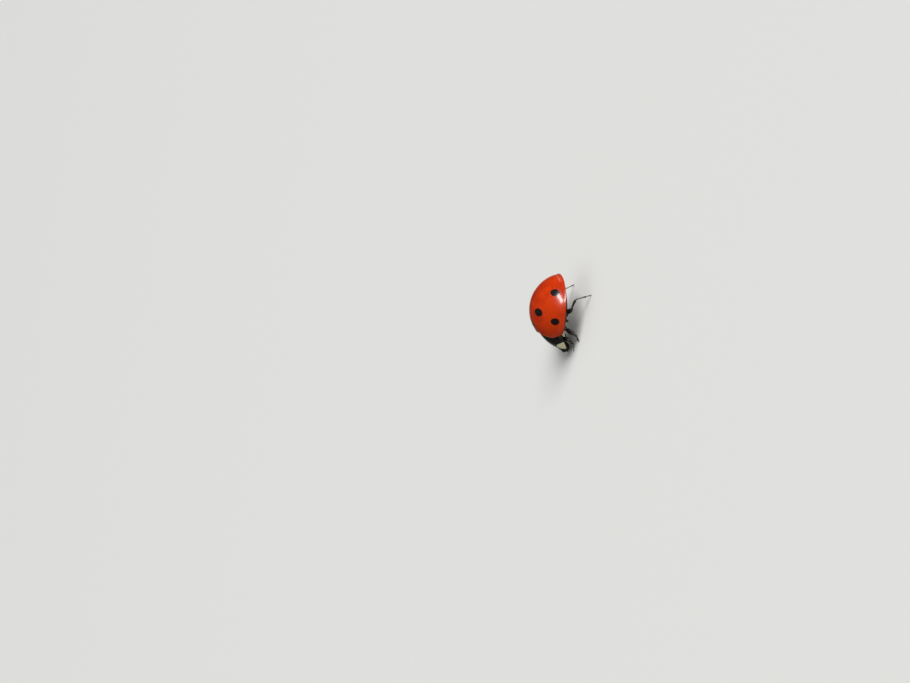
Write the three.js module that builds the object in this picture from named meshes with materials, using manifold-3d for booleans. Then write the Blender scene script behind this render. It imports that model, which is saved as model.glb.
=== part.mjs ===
// Seven-spot ladybird, life size, as a still museum model standing on a flat floor.
//
// Millimetres, +Z up. The head faces -Y, the animal's left side is +X, the feet stand on z = 0, and
// the origin is under the middle of the whole model. The wing cases, trunk and head are modelled in
// the body's own frame, which tips nose down; the shins and feet are modelled in the floor's frame.

import * as THREE from "three";
import { mergeVertices } from "three/addons/utils/BufferGeometryUtils.js";
import Module from "manifold-3d";

const wasm = await Module();
wasm.setup();

// ---- Driving dimensions ----

const GAP = 0.03; // between pieces that touch
const FAR = 10; // past every piece, for the cutting boxes
const FINE = [40, 18]; // steps around and down the outer dome
const COARSE = [26, 11];
const PITCH = THREE.MathUtils.degToRad(6); // nose-down tilt of the body
const BASE_HEIGHT = 1.9; // front edge of the wing cases above the floor
const BODY_SHIFT = -2.055; // brings the middle of the whole model over the origin

const CASE = {
  length: 5.9, // from the scutellum to the tip
  halfWidth: 2.75,
  lip: 0.05, // how far the margin flares outwards
  height: 2.8, // of the dome above its margin
  wall: 0.52,
  widest: 0.42, // place of the greatest width, as a share of the length
  frontReach: 0.55, // the dome's front and rear half lengths, as shares of the length
  rearReach: 0.589,
  shoulder: 2.22, // squareness of the shoulders: 2 is an ellipse
  slope: 0.5, // power of the dome's profile, in front and at the rear
  rearSlope: 0.59,
  turnUnder: 0.12, // depth of the turned-under rim below the margin
  rimCurve: 0.35, // depth that the rim's curve would reach if it closed
  baseCurve: 0.2, // how far the shoulders stand forward of the scutellum
  baseHalfWidth: 1.8,
};
CASE.centre = CASE.widest * CASE.length;

const BELLY = { depth: 0.8, slope: 0.75, frontFullness: 0.4, waist: 2.3 };
const SCUTELLUM = { halfWidth: 0.22, length: 0.36 };

const FOREBODY_TILT = THREE.MathUtils.degToRad(36); // the fore-body hangs below the body's line
const PRONOTUM = {
  halfWidth: 1.82,
  centre: 0.9, // behind the hinge line of the fore-body
  frontReach: 2.75,
  rearReach: 1.2,
  height: 1.4,
  slope: 0.7,
  squareness: 3,
  depth: 0.6,
  undersideSlope: 0.75,
};

const HEAD = { halfWidth: 0.92, halfLength: 0.62, halfDepth: 0.52, y: -1.68, z: 0.01, tilt: 0.2 };
const EYE = { halfWidth: 0.2, halfLength: 0.24, halfDepth: 0.3, x: 0.78, y: -1.8, z: 0.11 };
const LABRUM = { halfWidth: 0.36, halfLength: 0.2, halfDepth: 0.16, y: -2.2, z: -0.24 };
const FEELER = {
  radius: 0.23,
  clubRadius: 0.26,
  root: [0.6, -2.1, -0.07],
  bend: [0.98, -2.2, -0.04],
  tip: [1.42, -2.07, 0.1],
};
const PALP = { radius: 0.19, clubRadius: 0.22, root: [0.34, -1.8, -0.36], tip: [0.6, -2.04, -0.34] };
const SIDE_PLATE = {
  halfWidth: 0.2,
  halfLength: 0.46,
  halfDepth: 0.24,
  x: 1.5,
  y: 0.3,
  z: -0.34,
  turn: 0.5,
};

const COXA = { halfWidth: 0.4, halfLength: 0.3, halfDepth: 0.28 };
const THIGH = { hip: 0.26, middle: 0.31, knee: 0.29 };
const SHIN = { knee: 0.25, ankle: 0.28, clearance: 0.04 }; // clear of the floor
const FOOT = { heel: 0.25, waist: 0.24, pad: 0.28, tip: 0.21, axisHeight: 0.21 };

// Hips and knees are places in the body's frame, on the left side. Ankles and toes are places on
// the floor, measured from under the front edge of the wing cases, and their third number is how far
// the foot's axis is above its resting height. The hind feet stand on their tips.
const LEG_PAIRS = {
  front: {
    hip: [0.5, -0.26, -0.62],
    knee: [1.5, -0.28, -0.97],
    ankle: [1.2, -0.6, 0],
    toe: [1.35, -1.1, 0],
  },
  middle: {
    hip: [0.78, 0.75, -0.58],
    knee: [2.3, 0.55, -1.15],
    ankle: [1.55, 0.3, 0],
    toe: [2.1, 0.05, 0],
  },
  hind: {
    hip: [0.8, 2.1, -0.62],
    knee: [2.15, 3.0, -0.68],
    ankle: [2.2, 4.12, 1.08],
    toe: [2.5, 4.73, -0.06],
  },
};
const RIGHT_STRIDE = { front: 0.15, middle: 0.7, hind: -0.35 }; // right feet, behind the left ones

// ---- Materials ----

function finish(colour, roughness, metalness = 0) {
  return new THREE.MeshStandardMaterial({ color: colour, roughness, metalness });
}
const RED_CASE = () => finish(0xc62a08, 0.22);
const BLACK_SHELL = () => finish(0x0c0b0b, 0.3);
const IVORY_PLATE = () => finish(0xe8e2c8, 0.45);
const EYE_BLACK = () => finish(0x080808, 0.2);
const BROWN_HORN = () => finish(0x4a2c14, 0.5);
const DULL_BLACK = () => finish(0x16120f, 0.5);

// ---- Solids ----

// A three.js geometry as a closed solid that can be joined and cut.
function solidOf(geometry) {
  const bare = geometry.index ? geometry.toNonIndexed() : geometry.clone();
  bare.deleteAttribute("normal");
  bare.deleteAttribute("uv");
  const merged = mergeVertices(bare, 1e-5);
  return new wasm.Manifold(
    new wasm.Mesh({
      numProp: 3,
      vertProperties: new Float32Array(merged.attributes.position.array),
      triVerts: new Uint32Array(merged.index.array),
    }),
  );
}

function geometryOf(solid) {
  const mesh = solid.getMesh();
  const geometry = new THREE.BufferGeometry();
  geometry.setAttribute("position", new THREE.BufferAttribute(mesh.vertProperties, 3));
  geometry.setIndex(new THREE.BufferAttribute(mesh.triVerts, 1));
  const flat = geometry.toNonIndexed();
  flat.computeVertexNormals();
  return flat;
}

function node(name, solid, material) {
  const mesh = new THREE.Mesh(geometryOf(solid), material);
  mesh.name = name;
  return mesh;
}

function mirrored([x, y, z], side) {
  return [side * x, y, z];
}

function cutAll(solid, cutters) {
  return cutters.reduce((left, cutter) => left.subtract(cutter), solid);
}

// A dome and a belly that share one outline: a sphere whose plan is stretched to the outline, and
// whose height follows a power of the sphere's own height.
function domed(shape, around, down) {
  const geometry = new THREE.SphereGeometry(1, around, down);
  const place = geometry.attributes.position;
  for (let i = 0; i < place.count; i++) {
    const side = place.getX(i);
    const back = -place.getZ(i);
    const up = place.getY(i);
    const reach = Math.hypot(side, back);
    const s = reach > 1e-9 ? side / reach : 0;
    const c = reach > 1e-9 ? back / reach : 1;
    const power = c > 0 ? 2 : shape.squareness;
    const stretch = reach / Math.pow(Math.abs(s) ** power + Math.abs(c) ** power, 1 / power);
    const half = c > 0 ? shape.rear : shape.front;
    const rearness = Math.max(c, 0) ** 2;
    const profile = shape.slope + (shape.rearSlope - shape.slope) * rearness;
    const fullness = 1 - shape.frontFullness * reach * c;
    const height =
      up > 0 ? shape.top * up ** (2 * profile) : -shape.bottom * fullness * (-up) ** (2 * shape.bellySlope);
    const flare = Math.abs(up) < 1e-6 ? shape.lip : 0;
    place.setXYZ(
      i,
      (shape.halfWidth * stretch + flare) * s,
      shape.centre + (half * stretch + flare) * c,
      height,
    );
  }
  return solidOf(geometry);
}

// The wing cases' dome, drawn in by an inset, over an underside of a given depth and fullness.
function caseDome(inset, lip, bottom, bellySlope, frontFullness, [around, down]) {
  return domed(
    {
      halfWidth: CASE.halfWidth - inset,
      centre: CASE.centre,
      front: CASE.frontReach * CASE.length - inset,
      rear: CASE.rearReach * CASE.length - inset,
      squareness: CASE.shoulder,
      top: CASE.height - inset,
      slope: CASE.slope,
      rearSlope: CASE.rearSlope,
      lip,
      bottom,
      bellySlope,
      frontFullness,
    },
    around,
    down,
  );
}

function box(xMin, xMax, yMin, yMax, zMin, zMax) {
  const geometry = new THREE.BoxGeometry(xMax - xMin, yMax - yMin, zMax - zMin);
  geometry.translate((xMin + xMax) / 2, (yMin + yMax) / 2, (zMin + zMax) / 2);
  return solidOf(geometry);
}

function ellipsoid(halfWidth, halfLength, halfDepth, matrix, around = 10, down = 6) {
  const geometry = new THREE.SphereGeometry(1, around, down);
  geometry.scale(halfWidth, halfDepth, halfLength);
  geometry.rotateX(Math.PI / 2);
  geometry.applyMatrix4(matrix);
  return solidOf(geometry);
}

// A round piece along the line from one point to another, with the radii given at even steps and
// a rounded cap beyond each end.
function limb(from, to, radii, grow = 0, sides = 8) {
  const start = new THREE.Vector3(...from);
  const end = new THREE.Vector3(...to);
  const length = start.distanceTo(end);
  const first = radii[0] + grow;
  const last = radii[radii.length - 1] + grow;
  const profile = [new THREE.Vector2(0, -first)];
  profile.push(new THREE.Vector2(first * Math.SQRT1_2, -first * Math.SQRT1_2));
  radii.forEach((radius, i) => {
    profile.push(new THREE.Vector2(radius + grow, (length * i) / (radii.length - 1)));
  });
  profile.push(new THREE.Vector2(last * Math.SQRT1_2, length + last * Math.SQRT1_2));
  profile.push(new THREE.Vector2(0, length + last));
  const geometry = new THREE.LatheGeometry(profile, sides);
  const along = end.clone().sub(start).normalize();
  geometry.applyQuaternion(new THREE.Quaternion().setFromUnitVectors(new THREE.Vector3(0, 1, 0), along));
  geometry.translate(...from);
  return solidOf(geometry);
}

// ---- Frames ----

const bodyMatrix = new THREE.Matrix4()
  .makeTranslation(0, 0, BASE_HEIGHT)
  .multiply(new THREE.Matrix4().makeRotationX(PITCH));

function onFloor(bodyPoint) {
  return new THREE.Vector3(...bodyPoint).applyMatrix4(bodyMatrix).toArray();
}

const foreBodyMatrix = new THREE.Matrix4().makeRotationX(FOREBODY_TILT);

// ---- Wing cases and scutellum ----

// Everything in front of the curved base line of the wing cases, moved back by a distance.
function aheadOfBase(back) {
  const reach = 2 * CASE.baseHalfWidth;
  const drop = 4 * CASE.baseCurve;
  const outline = new THREE.Shape();
  outline.moveTo(-reach, back - drop);
  outline.quadraticCurveTo(0, back + drop, reach, back - drop);
  outline.lineTo(reach, -FAR);
  outline.lineTo(-reach, -FAR);
  outline.closePath();
  const geometry = new THREE.ExtrudeGeometry(outline, {
    depth: 2 * FAR,
    bevelEnabled: false,
    curveSegments: COARSE[0] / 2,
  });
  geometry.translate(0, 0, -FAR);
  return solidOf(geometry);
}

function scutellumPrism(grow) {
  const outline = new THREE.Shape();
  outline.moveTo(-SCUTELLUM.halfWidth - grow, -FAR);
  outline.lineTo(SCUTELLUM.halfWidth + grow, -FAR);
  outline.lineTo(SCUTELLUM.halfWidth + grow, 0);
  outline.lineTo(0, SCUTELLUM.length + 2 * grow);
  outline.lineTo(-SCUTELLUM.halfWidth - grow, 0);
  outline.closePath();
  const geometry = new THREE.ExtrudeGeometry(outline, { depth: FAR, bevelEnabled: false });
  return solidOf(geometry);
}

function wingCases() {
  const outer = caseDome(0, CASE.lip, CASE.rimCurve, CASE.slope, 0, FINE);
  const inner = caseDome(CASE.wall, 0, CASE.height, CASE.slope, 0, COARSE);
  const below = box(-FAR, FAR, -FAR, FAR, -FAR, -CASE.turnUnder);
  const wall = cutAll(outer, [inner, below, aheadOfBase(0)]);
  const cases = [];
  for (const [side, xMin, xMax] of [
    ["left", -FAR, GAP / 2],
    ["right", -GAP / 2, FAR],
  ]) {
    const otherHalf = box(xMin, xMax, -FAR, FAR, -FAR, FAR);
    cases.push(node("elytron_" + side, cutAll(wall, [otherHalf, scutellumPrism(GAP)]), RED_CASE()));
  }
  const plate = wall.intersect(scutellumPrism(0));
  return [...cases, node("scutellum", plate, BLACK_SHELL())];
}

// ---- Fore-body: pronotum, underside and head ----

function foreBodyDome(grow) {
  return domed(
    {
      halfWidth: PRONOTUM.halfWidth + grow,
      centre: PRONOTUM.centre,
      front: PRONOTUM.frontReach + grow,
      rear: PRONOTUM.rearReach,
      squareness: PRONOTUM.squareness,
      top: PRONOTUM.height + grow,
      slope: PRONOTUM.slope,
      rearSlope: PRONOTUM.slope,
      bottom: PRONOTUM.depth + grow,
      bellySlope: PRONOTUM.undersideSlope,
      lip: 0,
      frontFullness: 0,
    },
    ...COARSE,
  );
}

function headShape(grow) {
  const place = new THREE.Matrix4()
    .makeTranslation(0, HEAD.y, HEAD.z)
    .multiply(new THREE.Matrix4().makeRotationX(HEAD.tilt));
  return ellipsoid(HEAD.halfWidth + grow, HEAD.halfLength + grow, HEAD.halfDepth + grow, place, 20, 12);
}

function eyeShape(side, grow) {
  const place = new THREE.Matrix4().makeTranslation(side * EYE.x, EYE.y, EYE.z);
  return ellipsoid(EYE.halfWidth + grow, EYE.halfLength + grow, EYE.halfDepth + grow, place);
}

function feeler(side, grow) {
  const [root, bend, tip] = [FEELER.root, FEELER.bend, FEELER.tip].map((place) => mirrored(place, side));
  const stalk = limb(root, bend, [FEELER.radius, FEELER.radius], grow);
  return stalk.add(limb(bend, tip, [FEELER.radius, FEELER.clubRadius], grow));
}

function palp(side) {
  return limb(mirrored(PALP.root, side), mirrored(PALP.tip, side), [PALP.radius, PALP.clubRadius]);
}

function labrumShape(grow) {
  const place = new THREE.Matrix4().makeTranslation(0, LABRUM.y, LABRUM.z);
  return ellipsoid(LABRUM.halfWidth + grow, LABRUM.halfLength + grow, LABRUM.halfDepth + grow, place);
}

function foreBody() {
  const group = new THREE.Group();
  group.rotation.x = FOREBODY_TILT;
  const backOfJoint = new THREE.Matrix4().copy(foreBodyMatrix).invert();
  const behind = solidOf(
    geometryOf(box(-FAR, FAR, -FAR, FAR, -FAR, FAR).subtract(aheadOfBase(-GAP))).applyMatrix4(backOfJoint),
  );
  const shape = cutAll(foreBodyDome(0), [behind, headShape(GAP), eyeShape(1, GAP), eyeShape(-1, GAP)]);
  const lower = box(-FAR, FAR, -FAR, FAR, -FAR, 0);
  const upper = box(-FAR, FAR, -FAR, FAR, -GAP, FAR);
  const sockets = [1, -1].map((side) => solidOf(coxaGeometry("front", side, GAP).applyMatrix4(backOfJoint)));
  group.add(node("pronotum", shape.subtract(lower), BLACK_SHELL()));
  group.add(node("prosternum", cutAll(shape, [upper, ...sockets]), BLACK_SHELL()));

  const faceCuts = [eyeShape(1, GAP), eyeShape(-1, GAP), labrumShape(GAP)];
  for (const side of [1, -1]) faceCuts.push(feeler(side, GAP));
  group.add(node("head", cutAll(headShape(0), faceCuts), BLACK_SHELL()));
  group.add(node("labrum", labrumShape(0), DULL_BLACK()));
  for (const [word, side] of [
    ["left", 1],
    ["right", -1],
  ]) {
    group.add(node("eye_" + word, eyeShape(side, 0).subtract(feeler(side, GAP)), EYE_BLACK()));
    group.add(node("antenna_" + word, feeler(side, 0), BROWN_HORN()));
    group.add(node("palp_" + word, cutAll(palp(side), [headShape(GAP), labrumShape(GAP)]), BROWN_HORN()));
  }
  return group;
}

// ---- Trunk ----

function trunkDome(grow) {
  const inset = CASE.wall + GAP - grow;
  return caseDome(inset, 0, BELLY.depth + grow, BELLY.slope, BELLY.frontFullness, COARSE);
}

function sidePlate(side, grow) {
  const place = new THREE.Matrix4()
    .makeTranslation(side * SIDE_PLATE.x, SIDE_PLATE.y, SIDE_PLATE.z)
    .multiply(new THREE.Matrix4().makeRotationZ(side * SIDE_PLATE.turn));
  const { halfWidth, halfLength, halfDepth } = SIDE_PLATE;
  return ellipsoid(halfWidth + grow, halfLength + grow, halfDepth + grow, place);
}

function coxaGeometry(pair, side, grow) {
  const [x, y, z] = LEG_PAIRS[pair].hip;
  const geometry = new THREE.SphereGeometry(1, 10, 6);
  geometry.scale(COXA.halfWidth + grow, COXA.halfDepth + grow, COXA.halfLength + grow);
  geometry.rotateX(Math.PI / 2);
  geometry.translate(side * x, y, z);
  return geometry;
}

function trunk() {
  const sockets = [];
  for (const side of [1, -1]) {
    sockets.push(solidOf(coxaGeometry("middle", side, GAP)));
    sockets.push(solidOf(coxaGeometry("hind", side, GAP)));
    sockets.push(sidePlate(side, GAP));
  }
  const whole = cutAll(trunkDome(0), [aheadOfBase(GAP), ...sockets]);
  const rearHalf = box(-FAR, FAR, BELLY.waist, FAR, -FAR, FAR);
  const frontHalf = box(-FAR, FAR, -FAR, BELLY.waist + GAP, -FAR, FAR);
  const nodes = [
    node("thorax", whole.subtract(rearHalf), BLACK_SHELL()),
    node("abdomen", whole.subtract(frontHalf), BLACK_SHELL()),
  ];
  const rim = box(-FAR, FAR, -FAR, FAR, -CASE.turnUnder - GAP, FAR);
  for (const [word, side] of [
    ["left", 1],
    ["right", -1],
  ]) {
    const plate = cutAll(sidePlate(side, 0), [rim, aheadOfBase(GAP)]);
    nodes.push(node("mesepimeron_" + word, plate, IVORY_PLATE()));
  }
  return nodes;
}

// ---- Legs ----

function legPlaces(pair, side) {
  const { hip, knee, ankle, toe } = LEG_PAIRS[pair];
  const stride = side < 0 ? RIGHT_STRIDE[pair] : 0;
  return {
    hip: onFloor([side * hip[0], hip[1], hip[2]]),
    knee: onFloor([side * knee[0], knee[1], knee[2]]),
    ankle: [side * ankle[0], ankle[1] + stride, SHIN.ankle + SHIN.clearance + ankle[2]],
    heel: [side * ankle[0], ankle[1] + stride, FOOT.axisHeight + ankle[2]],
    toe: [side * toe[0], toe[1] + stride, FOOT.axisHeight + toe[2]],
  };
}

// The trunk and fore-body with a gap round them, in the floor's frame, for the thighs to clear.
const trunkClearance = [
  solidOf(geometryOf(trunkDome(GAP)).applyMatrix4(bodyMatrix)),
  solidOf(geometryOf(foreBodyDome(GAP)).applyMatrix4(foreBodyMatrix).applyMatrix4(bodyMatrix)),
];

function leg(pair, side, word) {
  const group = new THREE.Group();
  const places = legPlaces(pair, side);
  const thighRadii = [THIGH.hip, THIGH.middle, THIGH.knee];
  const shinRadii = [SHIN.knee, SHIN.ankle];
  const footRadii = [FOOT.heel, FOOT.waist, FOOT.pad, FOOT.tip];
  const coxa = (grow) => solidOf(coxaGeometry(pair, side, grow).applyMatrix4(bodyMatrix));
  const thigh = limb(places.hip, places.knee, thighRadii);
  const shin = limb(places.knee, places.ankle, shinRadii);
  const foot = limb(places.heel, places.toe, footRadii);
  const underground = box(-FAR, FAR, -FAR, FAR, -FAR, 0);
  const pieces = {
    coxa: coxa(0),
    femur: cutAll(thigh, [coxa(GAP), ...trunkClearance]),
    tibia: cutAll(shin, [limb(places.knee, places.hip, [...thighRadii].reverse(), GAP)]),
    tarsus: cutAll(foot, [limb(places.ankle, places.knee, [...shinRadii].reverse(), GAP), underground]),
  };
  for (const [piece, solid] of Object.entries(pieces)) {
    group.add(node(piece + "_" + pair + "_" + word, solid, BLACK_SHELL()));
  }
  return group;
}

// ---- The whole animal ----

const ladybird = new THREE.Group();
ladybird.name = "ladybird";
ladybird.position.y = BODY_SHIFT;

const body = new THREE.Group();
body.rotation.x = PITCH;
body.position.z = BASE_HEIGHT;
body.add(...wingCases(), ...trunk(), foreBody());
ladybird.add(body);

for (const pair of Object.keys(LEG_PAIRS)) {
  ladybird.add(leg(pair, 1, "left"), leg(pair, -1, "right"));
}

const root = new THREE.Group();
root.add(ladybird);

export default root;
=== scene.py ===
"""A life-size seven-spot ladybird, as a still museum model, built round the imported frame.

Meshes are modelled in millimetres, in the frame of the part they belong to, and are put in place
and scaled to metres as the last step. The head faces -Y, the animal's left is +X and +Z is up.
"""

import math
import random
from dataclasses import dataclass

import bmesh
import bpy
from bpy.props import FloatProperty, FloatVectorProperty, IntProperty, PointerProperty
from mathutils import Matrix, Vector


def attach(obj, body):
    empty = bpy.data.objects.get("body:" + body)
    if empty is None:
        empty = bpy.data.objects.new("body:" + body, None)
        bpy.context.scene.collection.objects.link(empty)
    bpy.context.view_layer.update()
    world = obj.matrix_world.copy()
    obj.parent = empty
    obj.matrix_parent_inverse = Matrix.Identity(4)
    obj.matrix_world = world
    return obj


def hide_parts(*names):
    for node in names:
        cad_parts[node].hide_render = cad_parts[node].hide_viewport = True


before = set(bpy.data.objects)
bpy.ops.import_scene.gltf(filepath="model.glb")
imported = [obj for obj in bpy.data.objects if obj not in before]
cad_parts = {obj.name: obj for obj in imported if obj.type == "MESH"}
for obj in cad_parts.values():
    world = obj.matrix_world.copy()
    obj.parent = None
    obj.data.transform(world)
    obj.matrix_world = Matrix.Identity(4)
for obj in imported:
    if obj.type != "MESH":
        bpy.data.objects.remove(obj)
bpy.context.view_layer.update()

bl_info = {
    "name": "Seven-spot Ladybird",
    "version": (1, 0, 0),
    "blender": (4, 5, 0),
    "location": "View3D > Sidebar > Ladybird",
    "description": "Builds a life-size seven-spot ladybird and the stage it stands on",
    "category": "Add Mesh",
}

# ---- Driving dimensions, in millimetres ----

MM = 0.001  # metres in a millimetre
TINY = 1e-5
SIDES = {"left": 1, "right": -1}

PITCH = math.radians(6)  # nose-down tilt of the body
BASE_HEIGHT = 1.9  # front edge of the wing cases above the floor
BODY_SHIFT = -2.055  # that edge, from the middle of the model
FOREBODY_TILT = math.radians(36)  # the head and its shield hang below the body's line
BASE_CURVE = 0.2  # how far the shoulders stand forward of the scutellum, at BASE_HALF_WIDTH
BASE_HALF_WIDTH = 1.8
BASE_GAP = 0.03  # between the wing cases and what meets them in front

IN_METRES = Matrix.Scale(MM, 4)
FLOOR_FRAME = Matrix.Translation((0, BODY_SHIFT, 0))
BODY_FRAME = Matrix.Translation((0, BODY_SHIFT, BASE_HEIGHT)) @ Matrix.Rotation(PITCH, 4, "X")
FOREBODY_IN_BODY = Matrix.Rotation(FOREBODY_TILT, 4, "X")
FOREBODY_FRAME = BODY_FRAME @ FOREBODY_IN_BODY

# Hips and knees in the body's frame, on the left side. Ankles and toes above the floor, measured from
# under the front edge of the wing cases. A thigh bulges past the knee by its reach, and bulk scales it.
LEGS = {
    "front": {
        "hip": (0.5, -0.26, -0.62),
        "knee": (1.5, -0.28, -0.97),
        "ankle": (1.2, -0.6, 0.19),
        "toe": (1.35, -1.1, 0.06),
        "reach": 0.1,
        "bulk": 0.95,
    },
    "middle": {
        "hip": (0.78, 0.75, -0.58),
        "knee": (2.3, 0.55, -1.15),
        "ankle": (1.55, 0.3, 0.19),
        "toe": (2.1, 0.05, 0.06),
        "reach": 0.04,
        "bulk": 1.1,
    },
    "hind": {
        "hip": (0.8, 2.1, -0.62),
        "knee": (2.15, 3.0, -0.68),
        "ankle": (2.2, 4.12, 1.34),
        "toe": (2.5, 4.73, 0.06),
        "reach": 0.04,
        "bulk": 1.0,
    },
}
RIGHT_STRIDE = {"front": 0.15, "middle": 0.7, "hind": -0.35}  # right feet, behind the left ones


# ---- Mesh tools ----


@dataclass
class Dome:
    """A shell's outline and heights: a plan of two half outlines over a rounded profile."""

    half_width: float
    centre: float  # behind the frame's origin
    front: float  # half lengths ahead of and behind the centre
    rear: float
    squareness: float  # of the front half: 2 is an ellipse
    top: float
    slope: float  # power of the profile, in front and at the rear
    rear_slope: float
    bottom: float = 0.0
    belly_slope: float = 0.5
    front_fullness: float = 0.0

    def power(self, c):
        return 2 if c > 0 else self.squareness

    def profile(self, c):
        return self.slope + (self.rear_slope - self.slope) * max(c, 0) ** 2

    def place(self, co):
        """Where a point of the unit sphere goes."""
        side, back, up = co
        reach = math.hypot(side, back)
        s, c = (side / reach, back / reach) if reach > TINY else (0, 1)
        power = self.power(c)
        stretch = reach / (abs(s) ** power + abs(c) ** power) ** (1 / power)
        half = self.rear if c > 0 else self.front
        if up > 0:
            height = self.top * up ** (2 * self.profile(c))
        else:
            fullness = 1 - self.front_fullness * reach * c
            height = -self.bottom * fullness * (-up) ** (2 * self.belly_slope)
        return Vector((self.half_width * stretch * s, self.centre + half * stretch * c, height))

    def shape(self, bm):
        for vert in bm.verts:
            vert.co = self.place(vert.co)

    def plan(self, co):
        """A point's place in the plan, as shares of the half width and half length."""
        along = co[1] - self.centre
        return co[0] / self.half_width, along / (self.rear if along > 0 else self.front)

    def height(self, x, y):
        s, c = self.plan((x, y))
        power = self.power(c)
        reach = min(1, (abs(s) ** power + abs(c) ** power) ** (1 / power))
        heading = c / math.hypot(s, c)
        return self.top * (1 - reach * reach) ** self.profile(heading)

    def outwards(self, co):
        """The level direction straight out of the outline near a point."""
        s, c = self.plan(co)
        half = self.rear if c > 0 else self.front
        power = self.power(c) - 1
        out = Vector((math.copysign(abs(s) ** power, s) / self.half_width,
                      math.copysign(abs(c) ** power, c) / half, 0))
        return out.normalized()


POLE_TURNS = {
    "X": Matrix.Rotation(math.pi / 2, 4, "Y"),
    "Y": Matrix.Rotation(math.pi / 2, 4, "X"),
    "Z": Matrix(),
}


def sphere(around, along, poles):
    """A unit sphere with its poles on the named axis."""
    bm = bmesh.new()
    bmesh.ops.create_uvsphere(bm, u_segments=around, v_segments=along, radius=1, matrix=POLE_TURNS[poles])
    return bm


def everything(bm):
    return bm.verts[:] + bm.edges[:] + bm.faces[:]


def score(bm, point, normal):
    """Adds a loop of edges where a plane meets the mesh."""
    bmesh.ops.bisect_plane(bm, geom=everything(bm), plane_co=point, plane_no=normal)


def cut(bm, point, normal):
    """Cuts the mesh at a plane and drops what lies on its normal's side."""
    bmesh.ops.bisect_plane(bm, geom=everything(bm), plane_co=point, plane_no=normal, clear_outer=True)


def drop_verts(bm, test):
    bmesh.ops.delete(bm, geom=[v for v in bm.verts if test(v.co)], context="VERTS")


def bend(bm, bow, way):
    """Moves every point back by bow(x, z), or forwards again when the way is -1."""
    for vert in bm.verts:
        vert.co.y += way * bow(vert.co.x, vert.co.z)


def cut_curve(bm, bow, level, facing):
    """Cuts along the curve y = level - bow(x, z), by bending the mesh straight and back again."""
    bend(bm, bow, 1)
    cut(bm, (0, level, 0), (0, facing, 0))
    bend(bm, bow, -1)


def base_bow(x, _z):
    """The curve of the wing cases' front edge."""
    return BASE_CURVE * (x / BASE_HALF_WIDTH) ** 2


def close_up(bm):
    """Fills the open ends and turns every face outwards."""
    bmesh.ops.holes_fill(bm, edges=bm.edges, sides=0)
    bmesh.ops.remove_doubles(bm, verts=bm.verts, dist=TINY)
    bmesh.ops.recalc_face_normals(bm, faces=bm.faces)


def face_outwards(bm):
    """Turns the faces of an open shell the same way, with its top facing up."""
    bmesh.ops.recalc_face_normals(bm, faces=bm.faces)
    top = max(bm.faces, key=lambda face: face.calc_center_median().z)
    if top.normal.z < 0:
        bmesh.ops.reverse_faces(bm, faces=bm.faces)


def mirrored(bm, side):
    """The left-hand mesh, or its mirror image for the right."""
    if side < 0:
        bm.transform(Matrix.Scale(-1, 4, (1, 0, 0)))
        bmesh.ops.reverse_faces(bm, faces=bm.faces)
    return bm


def mirror_point(point, side):
    return Vector((side * point[0], point[1], point[2]))


def box_fill(co, squareness):
    """How many times further out a rounded box reaches than the unit sphere, at a point of the sphere."""
    return 1 / sum(abs(value) ** squareness for value in co) ** (1 / squareness)


def smooth_step(low, high, value):
    t = min(1, max(0, (value - low) / (high - low)))
    return t * t * (3 - 2 * t)


def ease_through(values, t):
    """Runs smoothly through evenly spaced values as t goes from 0 to 1."""
    place = min(t, 1 - TINY) * (len(values) - 1)
    first = int(place)
    return values[first] + (values[first + 1] - values[first]) * smooth_step(0, 1, place - first)


def scaled(profile, radius):
    return [share * radius for share in profile]


def turned(length, radii, rings=14, steps=16, roundness=5):
    """A round solid along +Z through the given radii, with rounded ends."""
    bm = bmesh.new()
    verts = []
    for ring in range(rings + 1):
        t = (1 - math.cos(math.pi * ring / rings)) / 2
        end = (1 - abs(2 * t - 1) ** roundness) ** (1 / roundness)
        verts.append(bm.verts.new((ease_through(radii, t) * end, 0, length * t)))
    edges = [bm.edges.new(pair) for pair in zip(verts, verts[1:])]
    bmesh.ops.spin(bm, geom=verts + edges, cent=(0, 0, 0), axis=(0, 0, 1), angle=2 * math.pi,
                   steps=steps, use_merge=True)
    bmesh.ops.remove_doubles(bm, verts=bm.verts, dist=TINY)
    bmesh.ops.recalc_face_normals(bm, faces=bm.faces)
    return bm


def along(start, end, up=(0, 0, 1)):
    """The frame whose +Z runs from start towards end, with +Y as near up as it can be."""
    z = (end - start).normalized()
    x = Vector(up).cross(z).normalized()
    y = z.cross(x)
    return Matrix.Translation(start) @ Matrix((x, y, z)).transposed().to_4x4()


def ridge(distance, width):
    """A smooth bump: 1 where the distance is 0, and near 0 past twice the width."""
    return math.exp(-((distance / width) ** 2))


def scatter(rng, source, count, keep=lambda face: True):
    """Random places on a mesh: points, and the direction that the surface faces there.

    Blender hands over faces and corners in an order that changes from run to run, and points in one
    that doesn't. Sorting by the points keeps the places the same.
    """
    source.verts.index_update()
    corners = {face: sorted(face.verts, key=lambda vert: vert.index) for face in source.faces if keep(face)}
    faces = sorted(corners, key=lambda face: [vert.index for vert in corners[face]])
    areas = [face.calc_area() for face in faces]
    for face in rng.choices(faces, areas, k=count):
        corner = rng.choice(corners[face]).co
        yield face.calc_center_median().lerp(corner, rng.uniform(0, 0.9)), face.normal.copy()


def add_mesh(bm, other, place=Matrix()):
    """Adds a second mesh to the first and frees it."""
    other.transform(place)
    scrap = bpy.data.meshes.new("scrap")
    other.to_mesh(scrap)
    other.free()
    bm.from_mesh(scrap)
    bpy.data.meshes.remove(scrap)


def show(thing):
    bpy.context.scene.collection.objects.link(thing)


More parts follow.
